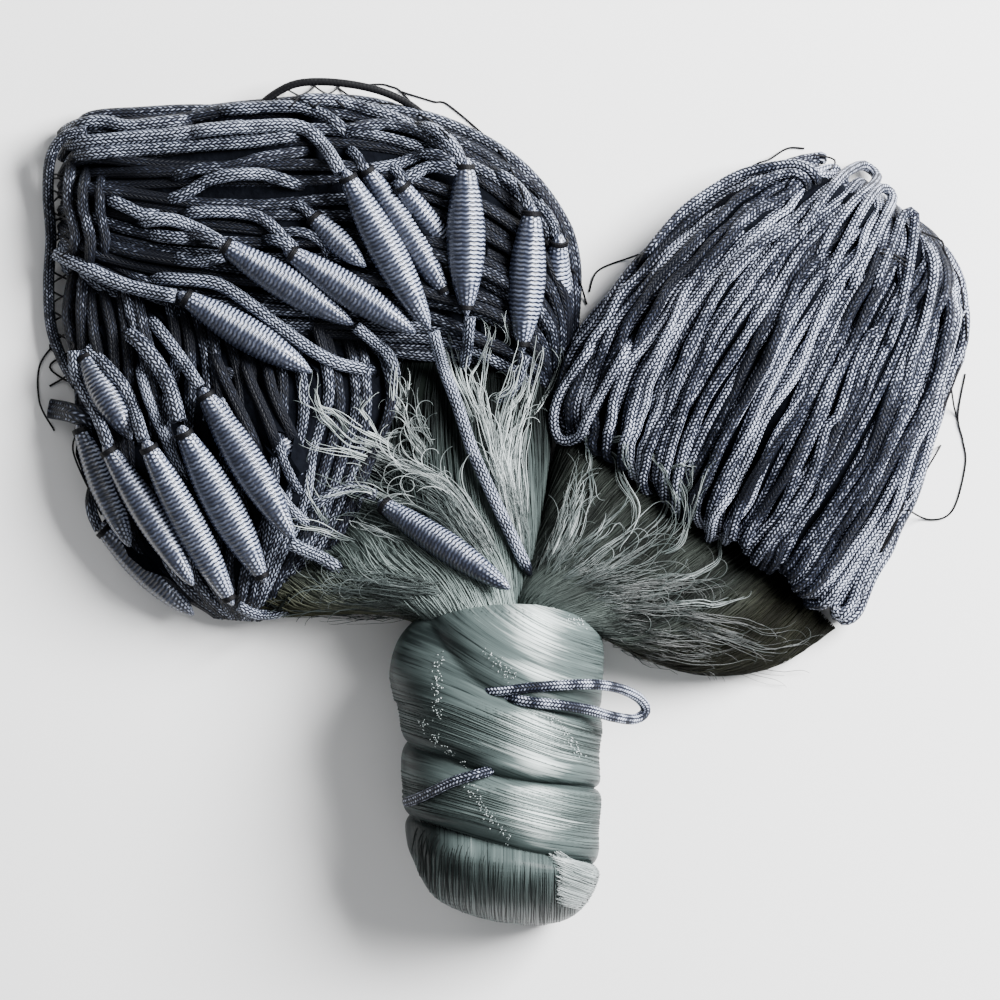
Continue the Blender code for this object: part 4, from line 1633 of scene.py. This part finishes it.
    def knots(self) -> List[Strand]:
        """The small pale knots of the meshes, in short rows.

        Returns:
            The knots.
        """
        found = []
        for route, count in self.knot_rows:
            share = self.chance.random(2 * count)
            row = smooth_rows(route, 10)
            places = sampled(row, np.linspace(0, 1, len(row)), share)
            for x, along in places + self.chance.normal(size=places.shape) * 1.1:
                heading = self.chance.uniform(0, math.pi)
                t = np.linspace(-0.3, 0.3, 3)
                found.append(Strand(
                    self.fall(x + t * math.cos(heading), along + t * math.sin(heading), 0.35),
                    self.chance.uniform(0.09, 0.17), self.chance.uniform(0.6, 1.1)))
        return found

    def build(self) -> None:
        """Adds the handle's skin and filaments."""
        self.skin()
        strands = self.wound_strands()
        tubes("handle_winding", strands, 3, Finish.BUNCHED_FILAMENT, "netting")
        tubes("handle_end", self.end_cover(), 3, Finish.BUNCHED_FILAMENT, "netting")
        pale = self.pale_bunch() + self.knots()
        tubes("handle_pale_bunch", pale, 3, Finish.LOOSE_FILAMENT, "netting")


@dataclass(frozen=True)
class Fan:
    """A fan of combed netting: its heap, and its tone at its root, its middle and its end."""

    name: str
    stations: Route
    count: int
    # darker towards its end: painted shade where the fan runs in under the lines
    tones: Tuple[float, float, float]
    dim_side: float  # 0 if its left side is dim and brown, 1 if its right side is, -1 if neither
    brown: float  # how much browner its far end is
    reach: float  # how far its loose strands go

    def shade(self, w: Array, v: Array) -> Tuple[Array, Array]:
        """The tone and the warmth at places on the fan.

        Args:
            w: how far across the heap.
            v: how far along it.

        Returns:
            The two numbers for each place.
        """
        dim = np.clip(1 - 3.0 * np.abs(w - self.dim_side), 0, 1)
        warmth = np.clip(1.6 * dim + self.brown * v, 0, 1)
        return np.interp(v, (0, 0.5, 1), self.tones) - 0.15 * dim, warmth


@dataclass(frozen=True)
class Tuft:
    """Locks of filament combed along a way on the plan, with fine filament at their root."""

    route: Route
    spread: Tuple[float, float, float]  # to either side, at its root, its middle and its end
    locks: int
    tone: float
    curl: float  # how long its curled ends are, about
    lift: float = 2.0


@dataclass
class NetFans(Maker):
    """The netting between the handle and the two lines: fans of filament with loose ends."""

    fans: Tuple[Fan, ...] = (
        Fan("left", (
            (-26, -62, 14, -58, 40, 14), (-32, -50, 10, -38, 52, 13), (-52, -45, 13, -14, 47, 11),
            (-80, -46, 16, 14, 38, 9), (-98, -46, 20, 40, 28, 7), (-116, -45, 22, 58, 15, 5)),
            720, (0.95, 0.72, 0.4), 0.0, 0.1, 1.0),
        Fan("middle", (
            (-22, -54, 14, -54, 42, 12), (-30, -28, 16, -26, 45, 11), (-42, -2, 18, 2, 38, 9),
            (-50, 24, 20, 26, 31, 8), (-52, 48, 21, 48, 24, 7), (-50, 66, 22, 62, 15, 5)),
            420, (0.7, 0.3, -0.7), -1.0, 0.0, 1.0),
        Fan("right", (
            (0, -58, 30, -62, 40, 14), (4, -38, 38, -54, 50, 13), (13, -16, 58, -63, 44, 11),
            (20, 8, 84, -70, 35, 9), (28, 34, 112, -66, 24, 6), (46, 44, 136, -51, 9, 3)),
            1000, (0.62, 0.08, 0.06), 1.0, 0.5, 1.2),
    )
    tufts: Tuple[Tuft, ...] = (
        Tuft(((13, -38), (7, -12), (1, 8), (-4, 28), (-9, 48), (-16, 64)), (2.5, 3.5, 6), 10, 0.85, 9),
        Tuft(((10, -40), (6, -8), (3, 18), (7, 40), (13, 56), (17, 66)), (3, 6, 5), 12, 0.9, 9),
        Tuft(((4, -36), (-20, 2), (-42, 15), (-60, 23), (-74, 29)), (5, 6, 8), 14, 0.85, 18),
        Tuft(((0, -38), (-24, -10), (-48, 0), (-66, 6), (-82, 12)), (5, 9, 10), 8, 0.55, 16),
        Tuft(((-20, 8), (-32, 22), (-38, 36), (-40, 50)), (4, 5, 6), 7, 0.75, 12),
        Tuft(((-8, -38), (-40, -34), (-70, -28), (-92, -22)), (6, 13, 18), 8, 0.4, 14),
        Tuft(((-22, -42), (-50, -43), (-80, -42), (-104, -40)), (4, 7, 8), 6, 0.3, 8),
        Tuft(((12, -40), (26, -14), (34, 8), (38, 24)), (4, 7, 8), 8, 0.6, 12),
        Tuft(((14, -38), (40, -20), (58, -6), (68, 4)), (6, 12, 16), 8, 0.5, 16),
        Tuft(((22, -38), (56, -33), (80, -27), (92, -18)), (5, 12, 14), 6, 0.35, 16),
        Tuft(((26, -41), (60, -42), (88, -42), (104, -38)), (4, 9, 9), 6, 0.25, 12),
        Tuft(((34, -50), (60, -56), (86, -58), (104, -52)), (3, 8, 9), 5, 0.1, 6),
        Tuft(((44, -54), (70, -63), (92, -66), (106, -60)), (3, 7, 9), 5, 0.08, 8),
        Tuft(((60, -46), (90, -54), (112, -60), (130, -54)), (5, 10, 12), 6, 0.1, 8),
    )
    locks: Tuple[Route, ...] = (
        ((-28, 11), (-44, 17), (-53, 22), (-60, 24), (-68, 32), (-75, 36), (-80, 39), (-80, 47)),
        ((-60, 24), (-70, 32), (-74, 41), (-74, 48)),
        ((-59, 24), (-66, 34), (-72, 37), (-74, 43)),
        ((-46, 18), (-52, 30), (-56, 35), (-56, 38), (-51, 44)),
        ((-56, 23), (-44, 26), (-40, 27), (-33, 28), (-28, 24)),
        ((-24, 13), (-38, 19), (-48, 24), (-58, 29), (-65, 34), (-71, 37)),
        ((-26, 12), (-40, 14), (-51, 17), (-62, 20), (-73, 22), (-80, 26)),
        ((-38, 24), (-40, 31), (-41, 37), (-40, 42), (-40, 48), (-39, 56)),
        ((-30, 24), (-35, 31), (-41, 37), (-42, 44), (-42, 54)),
        ((-36, 26), (-38, 34), (-38, 42), (-37, 51)),
        ((-32, -19), (-44, -14), (-57, -10), (-68, -8)),
        ((-54, -19), (-70, -13), (-86, -10)),
        ((-68, -12), (-74, -2), (-79, 8)),
        ((-36, -4), (-47, 1), (-53, 4), (-61, 4), (-70, 2)),
        ((-11, 27), (-11, 31), (-14, 39), (-16, 43), (-19, 49), (-22, 59), (-26, 68), (-28, 72)),
        ((-10, 30), (-11, 38), (-14, 45), (-16, 52), (-18, 60), (-20, 68)),
        ((-6, 26), (-8, 34), (-11, 39), (-13, 45), (-14, 52), (-13, 58)),
        ((-6, 30), (-8, 38), (-12, 49), (-9, 55), (-6, 62), (-4, 71)),
        ((-6, 28), (-7, 35), (-8, 41), (-6, 56), (-4, 68), (-6, 72), (-9, 77)),
        ((5, 21), (5, 25), (9, 35), (12, 45), (15, 56), (17, 67)),
        ((10, 28), (17, 41), (21, 47), (24, 56), (21, 61)),
        ((0, 22), (0, 27), (2, 35), (7, 41), (10, 49), (11, 59)),
        ((-8, 40), (-3, 40), (3, 43), (5, 45), (7, 52), (10, 60)),
        ((-1, 60), (3, 64), (2, 70), (0, 76)),
        ((40, 22), (49, 24), (50, 16), (55, 7), (56, 3)),
        ((40, 20), (46, 17), (48, 8), (53, 0), (54, -5), (52, -12), (46, -18), (44, -20)),
        ((60, 19), (66, 12), (67, 6), (68, 1), (67, -4), (64, -9), (59, -14), (55, -18), (49, -21)),
        ((64, 12), (69, 5), (71, -1), (70, -7), (67, -12), (60, -16)),
        ((67, 15), (71, 9), (74, 1), (75, -5), (73, -11), (69, -15), (64, -18)),
        ((64, -22), (72, -18), (76, -8), (81, 9), (83, 14), (87, 17)),
        ((60, -31), (68, -30), (76, -30), (84, -27), (88, -23), (88, -16), (91, -9), (94, -6)),
        ((60, -36), (67, -34), (74, -32), (81, -30)),
        ((34, -19), (41, -14), (44, -9), (49, -8), (49, -12)),
        ((64, 12), (72, 14), (75, 14), (76, 16)),
        ((70, 0), (76, 6), (76, 12), (78, 15)),
        ((64, -42), (79, -41), (86, -42), (94, -40), (104, -37)),
        ((34, 16), (36, 12), (37, 4), (37, -5)),
        ((34, 28), (36, 20), (37, 14), (36, 8)),
    )
    hub: Pair = (6.0, -48.0)  # where the fans spread from
    skin_depth: float = 0.7
    unrolled: float = 45.0  # how wide the skins' pattern is, for each radian round the hub
    tuft_step: float = 3.5
    lock_step: float = 1.6
    curl_step: float = 1.1
    tuft_bunch: Tuple[int, float] = (7, 3.2)  # a lock's filaments, and how wide it spreads
    root_bunch: Tuple[int, float] = (4, 5.0)
    lock_bunch: Tuple[int, float] = (6, 2.6)
    lock_curl: float = 5.0
    seed: int = 9

    def strands(self, fan: Fan) -> List[Strand]:
        """The combed filaments of one fan.

        Args:
            fan: the fan.

        Returns:
            The filaments.
        """
        heap = Heap(fan.stations)
        found = []
        for k in range(fan.count):
            begin = self.chance.uniform(0, 0.25)
            v = np.linspace(begin, min(0.99, fan.reach * self.chance.uniform(0.6, 1.0)), 14)
            w = np.clip((k + self.chance.random()) / fan.count + self.wander(v, 0.012, 1.0), 0.02, 0.98)
            lift = self.chance.uniform(-1.0, 1.0) * np.sin(math.pi * (v - begin))
            lift = lift + self.wander(v, 0.2, 2.5)
            points = above(heap.place(w, v, lift), FILAMENT_RADIUS)
            tone, warmth = fan.shade(w, v)
            tone = tone + 0.06 * math.sin(37.0 * k / fan.count) + 0.06 * self.chance.normal()
            radius = FILAMENT_RADIUS * self.chance.uniform(0.55, 0.85)
            found.append(Strand(points, radius, tone, warmth=warmth))
        return found

    def skin(self, fan: Fan) -> bpy.types.Object:
        """The surface of one fan, closed over the floor.

        Args:
            fan: the fan.

        Returns:
            The new object.
        """
        heap = Heap(fan.stations, columns=110, steps=10)
        places = heap.grid - heap.normals * self.skin_depth
        places[..., 2] = np.maximum(places[..., 2], 0.2)
        places = np.concatenate([places, places[:, :1]], axis=1)
        rows, columns = places.shape[:2]
        v, w = np.meshgrid(np.linspace(0, 1, rows), np.linspace(0, 1, columns), indexing="ij")
        places[0] = places[0].mean(axis=0)
        places[-1] = places[-1].mean(axis=0)
        tone, warmth = fan.shade(w, v)
        away = places[..., :2] - self.hub
        turned = (np.arctan2(away[..., 1], away[..., 0]) + math.pi / 2) % (2 * math.pi)
        flow = np.dstack([np.hypot(away[..., 0], away[..., 1]), turned * self.unrolled])
        mesh = lofted_mesh(f"net_skin_{fan.name}", places, flow, {"tone": tone, "warmth": warmth})
        return show(f"net_skin_{fan.name}", mesh, Finish.FAN_SKIN, "netting")

    def curl(self, points: Array, length: float) -> Array:
        """The same line with a curled end.

        Args:
            points: the line's points.
            length: of its curled end, about.

        Returns:
            The line.
        """
        count = max(4, int(length / self.curl_step))
        ahead = points[-1] - points[-2]
        heading = math.atan2(ahead[1], ahead[0])
        bend = self.curl_step / self.chance.uniform(3.0, 14.0) * self.chance.choice([-1, 1])
        headings = heading + np.cumsum(bend * np.linspace(0.4, 1.5, count))
        climb = np.full(count, self.chance.uniform(-0.15, 0.15))
        steps = self.curl_step * np.column_stack([np.cos(headings), np.sin(headings), climb])
        return np.vstack([points, points[-1] + np.cumsum(steps, axis=0)])

    def bunch(
        self, line: Array, count: int, width: float, tone: float, curl: float
    ) -> List[Strand]:
        """Filaments that run together along a line, and part towards its end.

        Args:
            line: the line's points.
            count: how many filaments there are.
            width: of the bunch at its end.
            tone: how pale the filaments are.
            curl: how long their curled ends are, about.

        Returns:
            The filaments.
        """
        share = np.linspace(0, 1, len(line))
        across = sideways(line)
        found = []
        for _ in range(count):
            last = max(4, int(len(line) * self.chance.uniform(0.6, 1.0)))
            offset = width * (0.35 + 0.65 * share) * self.chance.normal() * 0.5
            offset = offset + self.wander(share, 0.25 * width, 1.2)
            points = np.column_stack([
                line[:, :2] + across * offset[:, None],
                line[:, 2] + self.chance.uniform(0, width) * share])[:last]
            if self.chance.random() < 0.6 and curl > 0:
                points = self.curl(points, curl * self.chance.uniform(0.3, 1.4))
            ends = np.linspace(0, 1, len(points))
            taper = np.interp(ends, (0.6, 1), (1, 0.45))
            radius = FILAMENT_RADIUS * self.chance.uniform(0.4, 0.7) * taper
            shade = np.interp(ends, (0, 0.25, 0.6, 1), (0.3, 0.6 * tone, tone, 0.75 * tone))
            shade = shade + (0.06 + 0.1 * tone) * self.chance.normal()
            found.append(Strand(above(points, FILAMENT_RADIUS), radius, shade))
        return found

    def comb(self, tuft: Tuft, pile: Pile) -> List[Strand]:
        """The locks of one tuft, laid over the pile.

        Args:
            tuft: the tuft.
            pile: what has been laid so far.

        Returns:
            The filaments.
        """
        spine = even_points(tuft.route, self.tuft_step)
        share = np.linspace(0, 1, len(spine))
        across = sideways(spine)
        found = []
        for k in range(tuft.locks * 3):
            loose = k < tuft.locks
            side = float(np.clip(self.chance.normal() * 0.45, -1, 1))
            last = self.chance.uniform(0.6, 1.0) if loose else self.chance.uniform(0.35, 0.6)
            shown = (share >= self.chance.uniform(0, 0.2)) & (share <= last)
            offset = side * np.interp(share, (0, 0.5, 1), tuft.spread)
            offset = offset + self.wander(share, 0.6, 1.5)
            plan = (spine + across * offset[:, None])[shown]
            heights = relax(pile.height(plan), 4, 9.0)
            lift = 0.2 + tuft.lift * self.chance.random() * np.sin(math.pi * share[shown]) ** 0.5
            line = np.column_stack([plan, heights + lift - 5.0 * fade(arc_lengths(plan), 14)])
            if loose:
                tone = tuft.tone * (1.15 - 0.5 * abs(side))
                found += self.bunch(line, *self.tuft_bunch, tone, tuft.curl)
            else:
                found += self.bunch(line, *self.root_bunch, 0.5 * tuft.tone, 0.0)
        return found

    def build(self, pile: Pile) -> None:
        """Adds the netting's inside, its fans, its tufts and its loose locks.

        Args:
            pile: what has been laid so far.
        """
        inside("netting_inside", "netting", 4.0, Finish.NETTING_SHADE, "netting", -44.0)
        for fan in self.fans:
            self.skin(fan)
            strands = self.strands(fan)
            tubes(f"net_fan_{fan.name}", strands, 3, Finish.BUNCHED_FILAMENT, "netting")
        combed = [strand for tuft in self.tufts for strand in self.comb(tuft, pile)]
        tubes("net_tufts", combed, 3, Finish.LOOSE_FILAMENT, "netting")
        loose = []
        for route in self.locks:
            plan = even_points(route, self.lock_step)
            heights = relax(pile.height(plan), 6, 1.5) + 0.8
            heights = heights - 3.0 * fade(arc_lengths(plan), 8)
            tone = 0.9 if plan[0, 0] < 20 else 0.6
            line = np.column_stack([plan, heights])
            loose += self.bunch(line, *self.lock_bunch, tone, self.lock_curl)
        tubes("net_locks", loose, 4, Finish.LOOSE_FILAMENT, "netting")


# --- free ends and outer netting ----------------------------------------------------------------


@dataclass
class FreeLines:
    """The lines that stand clear of the heaps."""

    tie_loop: Route = (
        (-9, -75.5, 60), (-2, -75.5, 66.5), (12, -74, 69.5), (26, -73, 69), (38, -73, 63),
        (48, -75, 53), (55.5, -79, 46), (58, -84, 43), (53.5, -87.2, 46), (45, -86, 55),
        (35, -83, 63), (24, -81, 69.5), (10, -79.5, 70), (2, -78, 64))
    tucked_end: Route = (
        (-37, -120, 48), (-33, -118.5, 55), (-26, -115, 63), (-18, -111, 69),
        (-10, -108.5, 71), (-4, -107, 66))
    edge_run: Route = (
        (-166, 148, 22), (-175, 146, 19), (-180.5, 138, 15), (-182, 124, 10), (-181, 106, 7),
        (-182, 88, 6), (-181, 70, 6), (-176, 56, 9), (-170, 46, 15))
    wall_net_edge: Route = (
        (-98, 157, 14), (-91, 163, 15), (-81, 167.5, 16), (-66, 167.8, 16), (-50, 165, 15),
        (-38, 160, 14), (-30, 154, 15))
    edge_run_radius: float = 2.3
    wall_net_radius: float = 1.6
    tie_step: float = 2.0
    step: float = 2.5
    stitch: float = 1.5

    def build_tie_loop(self) -> None:
        """Adds the tie loop, the one cord that lies free."""
        points = even_points(self.tie_loop, self.tie_step)
        along = arc_lengths(points)
        patches = 0.6 + 0.35 * np.sin(0.45 * along + 2.5 * np.sin(0.13 * along))
        strand = Strand(points, LEAD_LINE_RADIUS, patches, 1.35)
        piece = tubes("tie_loop", [strand], 12, Finish.LEAD_LINE, "lead_line", "line_tie_loop")

    def build(self) -> None:
        """Adds the other lines."""
        for name, route, radius, finish, slot, tone in (
            ("tucked_end", self.tucked_end, LEAD_LINE_RADIUS, Finish.LEAD_LINE, "lead_line", 0.5),
            ("edge_run", self.edge_run, self.edge_run_radius, Finish.FLOAT_LINE, "float_line", 0.45),
            ("wall_net_edge", self.wall_net_edge, self.wall_net_radius, Finish.WALL_NETTING,
             "wall_netting", 0.5),
        ):
            strand = Strand(even_points(route, self.step), radius, tone, self.stitch)
            tubes(name, [strand], 10, finish, slot, f"line_{name}")


@dataclass
class WallNetting:
    """The coarse outer netting of thin dark twine, where it shows past the lobes."""

    lines: Tuple[Route, ...] = (
        ((150, 101), (156, 98), (162, 95)), ((151, 98.5), (157, 96), (162, 93)),
        ((168.8, 107.2), (177, 104), (178, 100), (181, 94), (184, 89), (186, 78), (187.6, 68),
         (187, 61), (186.4, 58), (180, 42), (174, 30), (171, 15), (163, 2), (158, -12), (153, -21)),
        ((181, 45), (185, 32)), ((186, 56), (175, 30)), ((178, 22), (163, 0)), ((162, -1), (153, -20)),
        ((188, 51), (185, 34), (187, 24), (188, 14), (183, -4), (174, -8), (164, -4)),
        ((100, 134), (108, 137), (116, 142), (123, 142)),
        ((126, 139), (133, 138), (135, 136), (132, 132)),
        ((-62, 167), (-49, 168), (-44, 167), (-40, 165), (-30, 154), (-20, 144)),
        ((-49, 160), (-38, 158), (-28, 152), (-20, 146)),
        ((-40, 165), (-27, 161), (-20, 159), (0, 140), (12, 115), (20, 92)),
        ((-92, 163), (-84, 156)), ((-86, 166), (-74, 157)), ((-74, 168), (-84, 157)),
        ((-76, 168), (-62, 157)), ((-64, 168), (-74, 157)), ((-66, 167), (-54, 158)),
        ((27, 95), (32, 88), (35, 79)), ((36, 84), (40, 93), (56, 99)), ((20, 106), (24, 102)),
        ((-182, 131.5), (-176, 131), (-169, 130)), ((-182, 130), (-176, 129.5), (-169, 129)),
        ((-182, 115.5), (-176, 115), (-169, 113.5)), ((-182, 113.5), (-176, 113), (-169, 112)),
        ((2, 8), (7, 1), (12, -6)), ((-180, 63), (-186, 54), (-186, 40), (-180, 28)),
        ((-168, 30), (-172, 20), (-164, 2), (-160, -6)),
    )
    radius: float = TWINE_RADIUS
    edge: Pair = (-182.0, -171.0)
    edge_top: float = 126.0
    edge_bottom: float = 44.0
    edge_step: float = 8.0

    def edge_meshes(self) -> List[Route]:
        """The meshes between the edge run and the heap: twines that cross from side to side.

        Returns:
            The ways of the twines on the plan.
        """
        rows = np.arange(self.edge_top, self.edge_bottom, -self.edge_step)
        return [
            [(self.edge[(k + first) % 2], y) for k, y in enumerate(rows)] for first in (0, 1)
        ]

    def build(self, pile: Pile) -> None:
        """Adds the twines.

        Args:
            pile: what has been laid so far.
        """
        strands = []
        for route in (*self.lines, *self.edge_meshes()):
            points = pile.lay(route, self.radius, press=0.0, step=1.5, tuck=0.0)
            strands.append(Strand(points, self.radius, 0.4, 0.9))
        tubes("wall_netting_twines", strands, 5, Finish.WALL_NETTING, "wall_netting")


@dataclass
class Ties(Maker):
    """Turns of thin dark twine at the floats' ends."""

    tails: Tuple[int, ...] = (4, 5, 2, 12, 13)
    turns: int = 4
    points_a_turn: int = 16
    breadth: float = 1.6
    slack: float = 0.25
    radius: float = 0.6
    seed: int = 13

    def turns_round(self, tip: Array, axis: Array, tip_radius: float) -> Strand:
        """A tie round one end of a float.

        Args:
            tip: the float's end.
            axis: the float's direction.
            tip_radius: the float's radius there.

        Returns:
            The tie.
        """
        side = np.cross(axis, (0, 0, 1))
        side /= np.linalg.norm(side)
        over = np.cross(side, axis)
        reach = tip_radius + self.slack
        angle = np.linspace(0, 2 * math.pi * self.turns, self.points_a_turn * self.turns)
        share = angle / angle[-1]
        drift = (share - 0.5) * self.breadth + self.wander(share, 0.2, 3.0)
        points = (tip + np.outer(drift, axis) + np.outer(np.cos(angle) * reach, side)
                  + np.outer(np.sin(angle) * reach, over))
        return Strand(points, self.radius, 0.3, 0.9)

    def build(self, places: Sequence[FloatPlace]) -> None:
        """Adds the ties.

        Args:
            places: where the floats lie.
        """
        head_radius = FLOAT_TIP_RADIUS + FLOAT_HEAD_EXTRA
        strands = [self.turns_round(place.head, place.axis, head_radius) for place in places]
        for place in (places[k - 1] for k in self.tails):
            strands.append(self.turns_round(place.tail, place.axis, FLOAT_TIP_RADIUS))
        tubes("float_ties", strands, 5, Finish.WALL_NETTING, "wall_netting")


# --- the studio ---------------------------------------------------------------------------------


@dataclass
class Studio:
    """A pale floor, soft lights and a camera that looks straight down."""

    centre: Pair = (-0.0022, 0.0005)
    height: float = 3.0
    view_width: float = 0.4
    view_height: float = 0.03
    sensor: float = 36.0
    floor_size: float = 3.0
    sky: Colour = (0.95, 0.97, 1.0, 1)
    sky_strength: float = 0.26

    def camera(self) -> None:
        """Adds the camera."""
        data = bpy.data.cameras.new("camera")
        data.sensor_width = self.sensor
        data.lens = self.sensor * (self.height - self.view_height) / self.view_width
        data.clip_start = 0.1
        camera = link("camera", data)
        camera.location = (*self.centre, self.height)
        bpy.context.scene.camera = camera

    def light(self, name: str, place: Tuple[float, float, float], size: float, power: float) -> None:
        """Adds a square soft light that shines at the net.

        Args:
            name: the light's name.
            place: where it is, in metres.
            size: its width, in metres.
            power: in watts.
        """
        data = bpy.data.lights.new(name, "AREA")
        data.size = size
        data.energy = power
        light = link(name, data)
        light.location = place
        aim = Vector((0, 0, self.view_height)) - Vector(place)
        light.rotation_mode = "QUATERNION"
        light.rotation_quaternion = aim.to_track_quat("-Z", "Y")

    def floor(self) -> None:
        """Adds the floor and the pale surroundings."""
        mesh = bpy.data.meshes.new("floor")
        bm = bmesh.new()
        bmesh.ops.create_grid(bm, x_segments=1, y_segments=1, size=self.floor_size)
        bm.to_mesh(mesh)
        bm.free()
        mesh.materials.append(Paint("floor").surface((0.9, 0.9, 0.9, 1), 0.8, 0.2))
        link("floor", mesh)
        world = bpy.data.worlds.new("surroundings")
        world.use_nodes = True
        sky = world.node_tree.nodes["Background"].inputs
        sky["Color"].default_value = self.sky
        sky["Strength"].default_value = self.sky_strength
        bpy.context.scene.world = world

    def lights(self) -> None:
        """Adds the key, a rim light and a fill."""
        self.light("key", (1.1, 0.6, 1.05), 0.9, 150.0)
        self.light("back", (-0.8, 0.9, 0.8), 0.6, 3.0)
        self.light("fill", (0.2, -1.1, 0.8), 0.9, 4.0)


# --- the net ------------------------------------------------------------------------------------


def main() -> None:
    """Builds the net's parts in order and reports them."""
    logging.basicConfig(level=logging.INFO, format="%(name)s: %(message)s")
    studio = Studio()
    studio.camera()
    studio.floor()
    studio.lights()
    free_lines = FreeLines()
    free_lines.build_tie_loop()
    free_lines.build()
    pile = Pile({"netting": 1.0, "lead_line": 5.0, "float_line": 2.0})
    LeadLine().build(pile)
    floats = Floats()
    places = floats.places()
    floats.build(places)
    FloatLine().build(pile, places)
    Handle().build()
    NetFans().build(pile)
    WallNetting().build(pile)
    Ties().build(places)


if __name__ == "__main__":
    main()
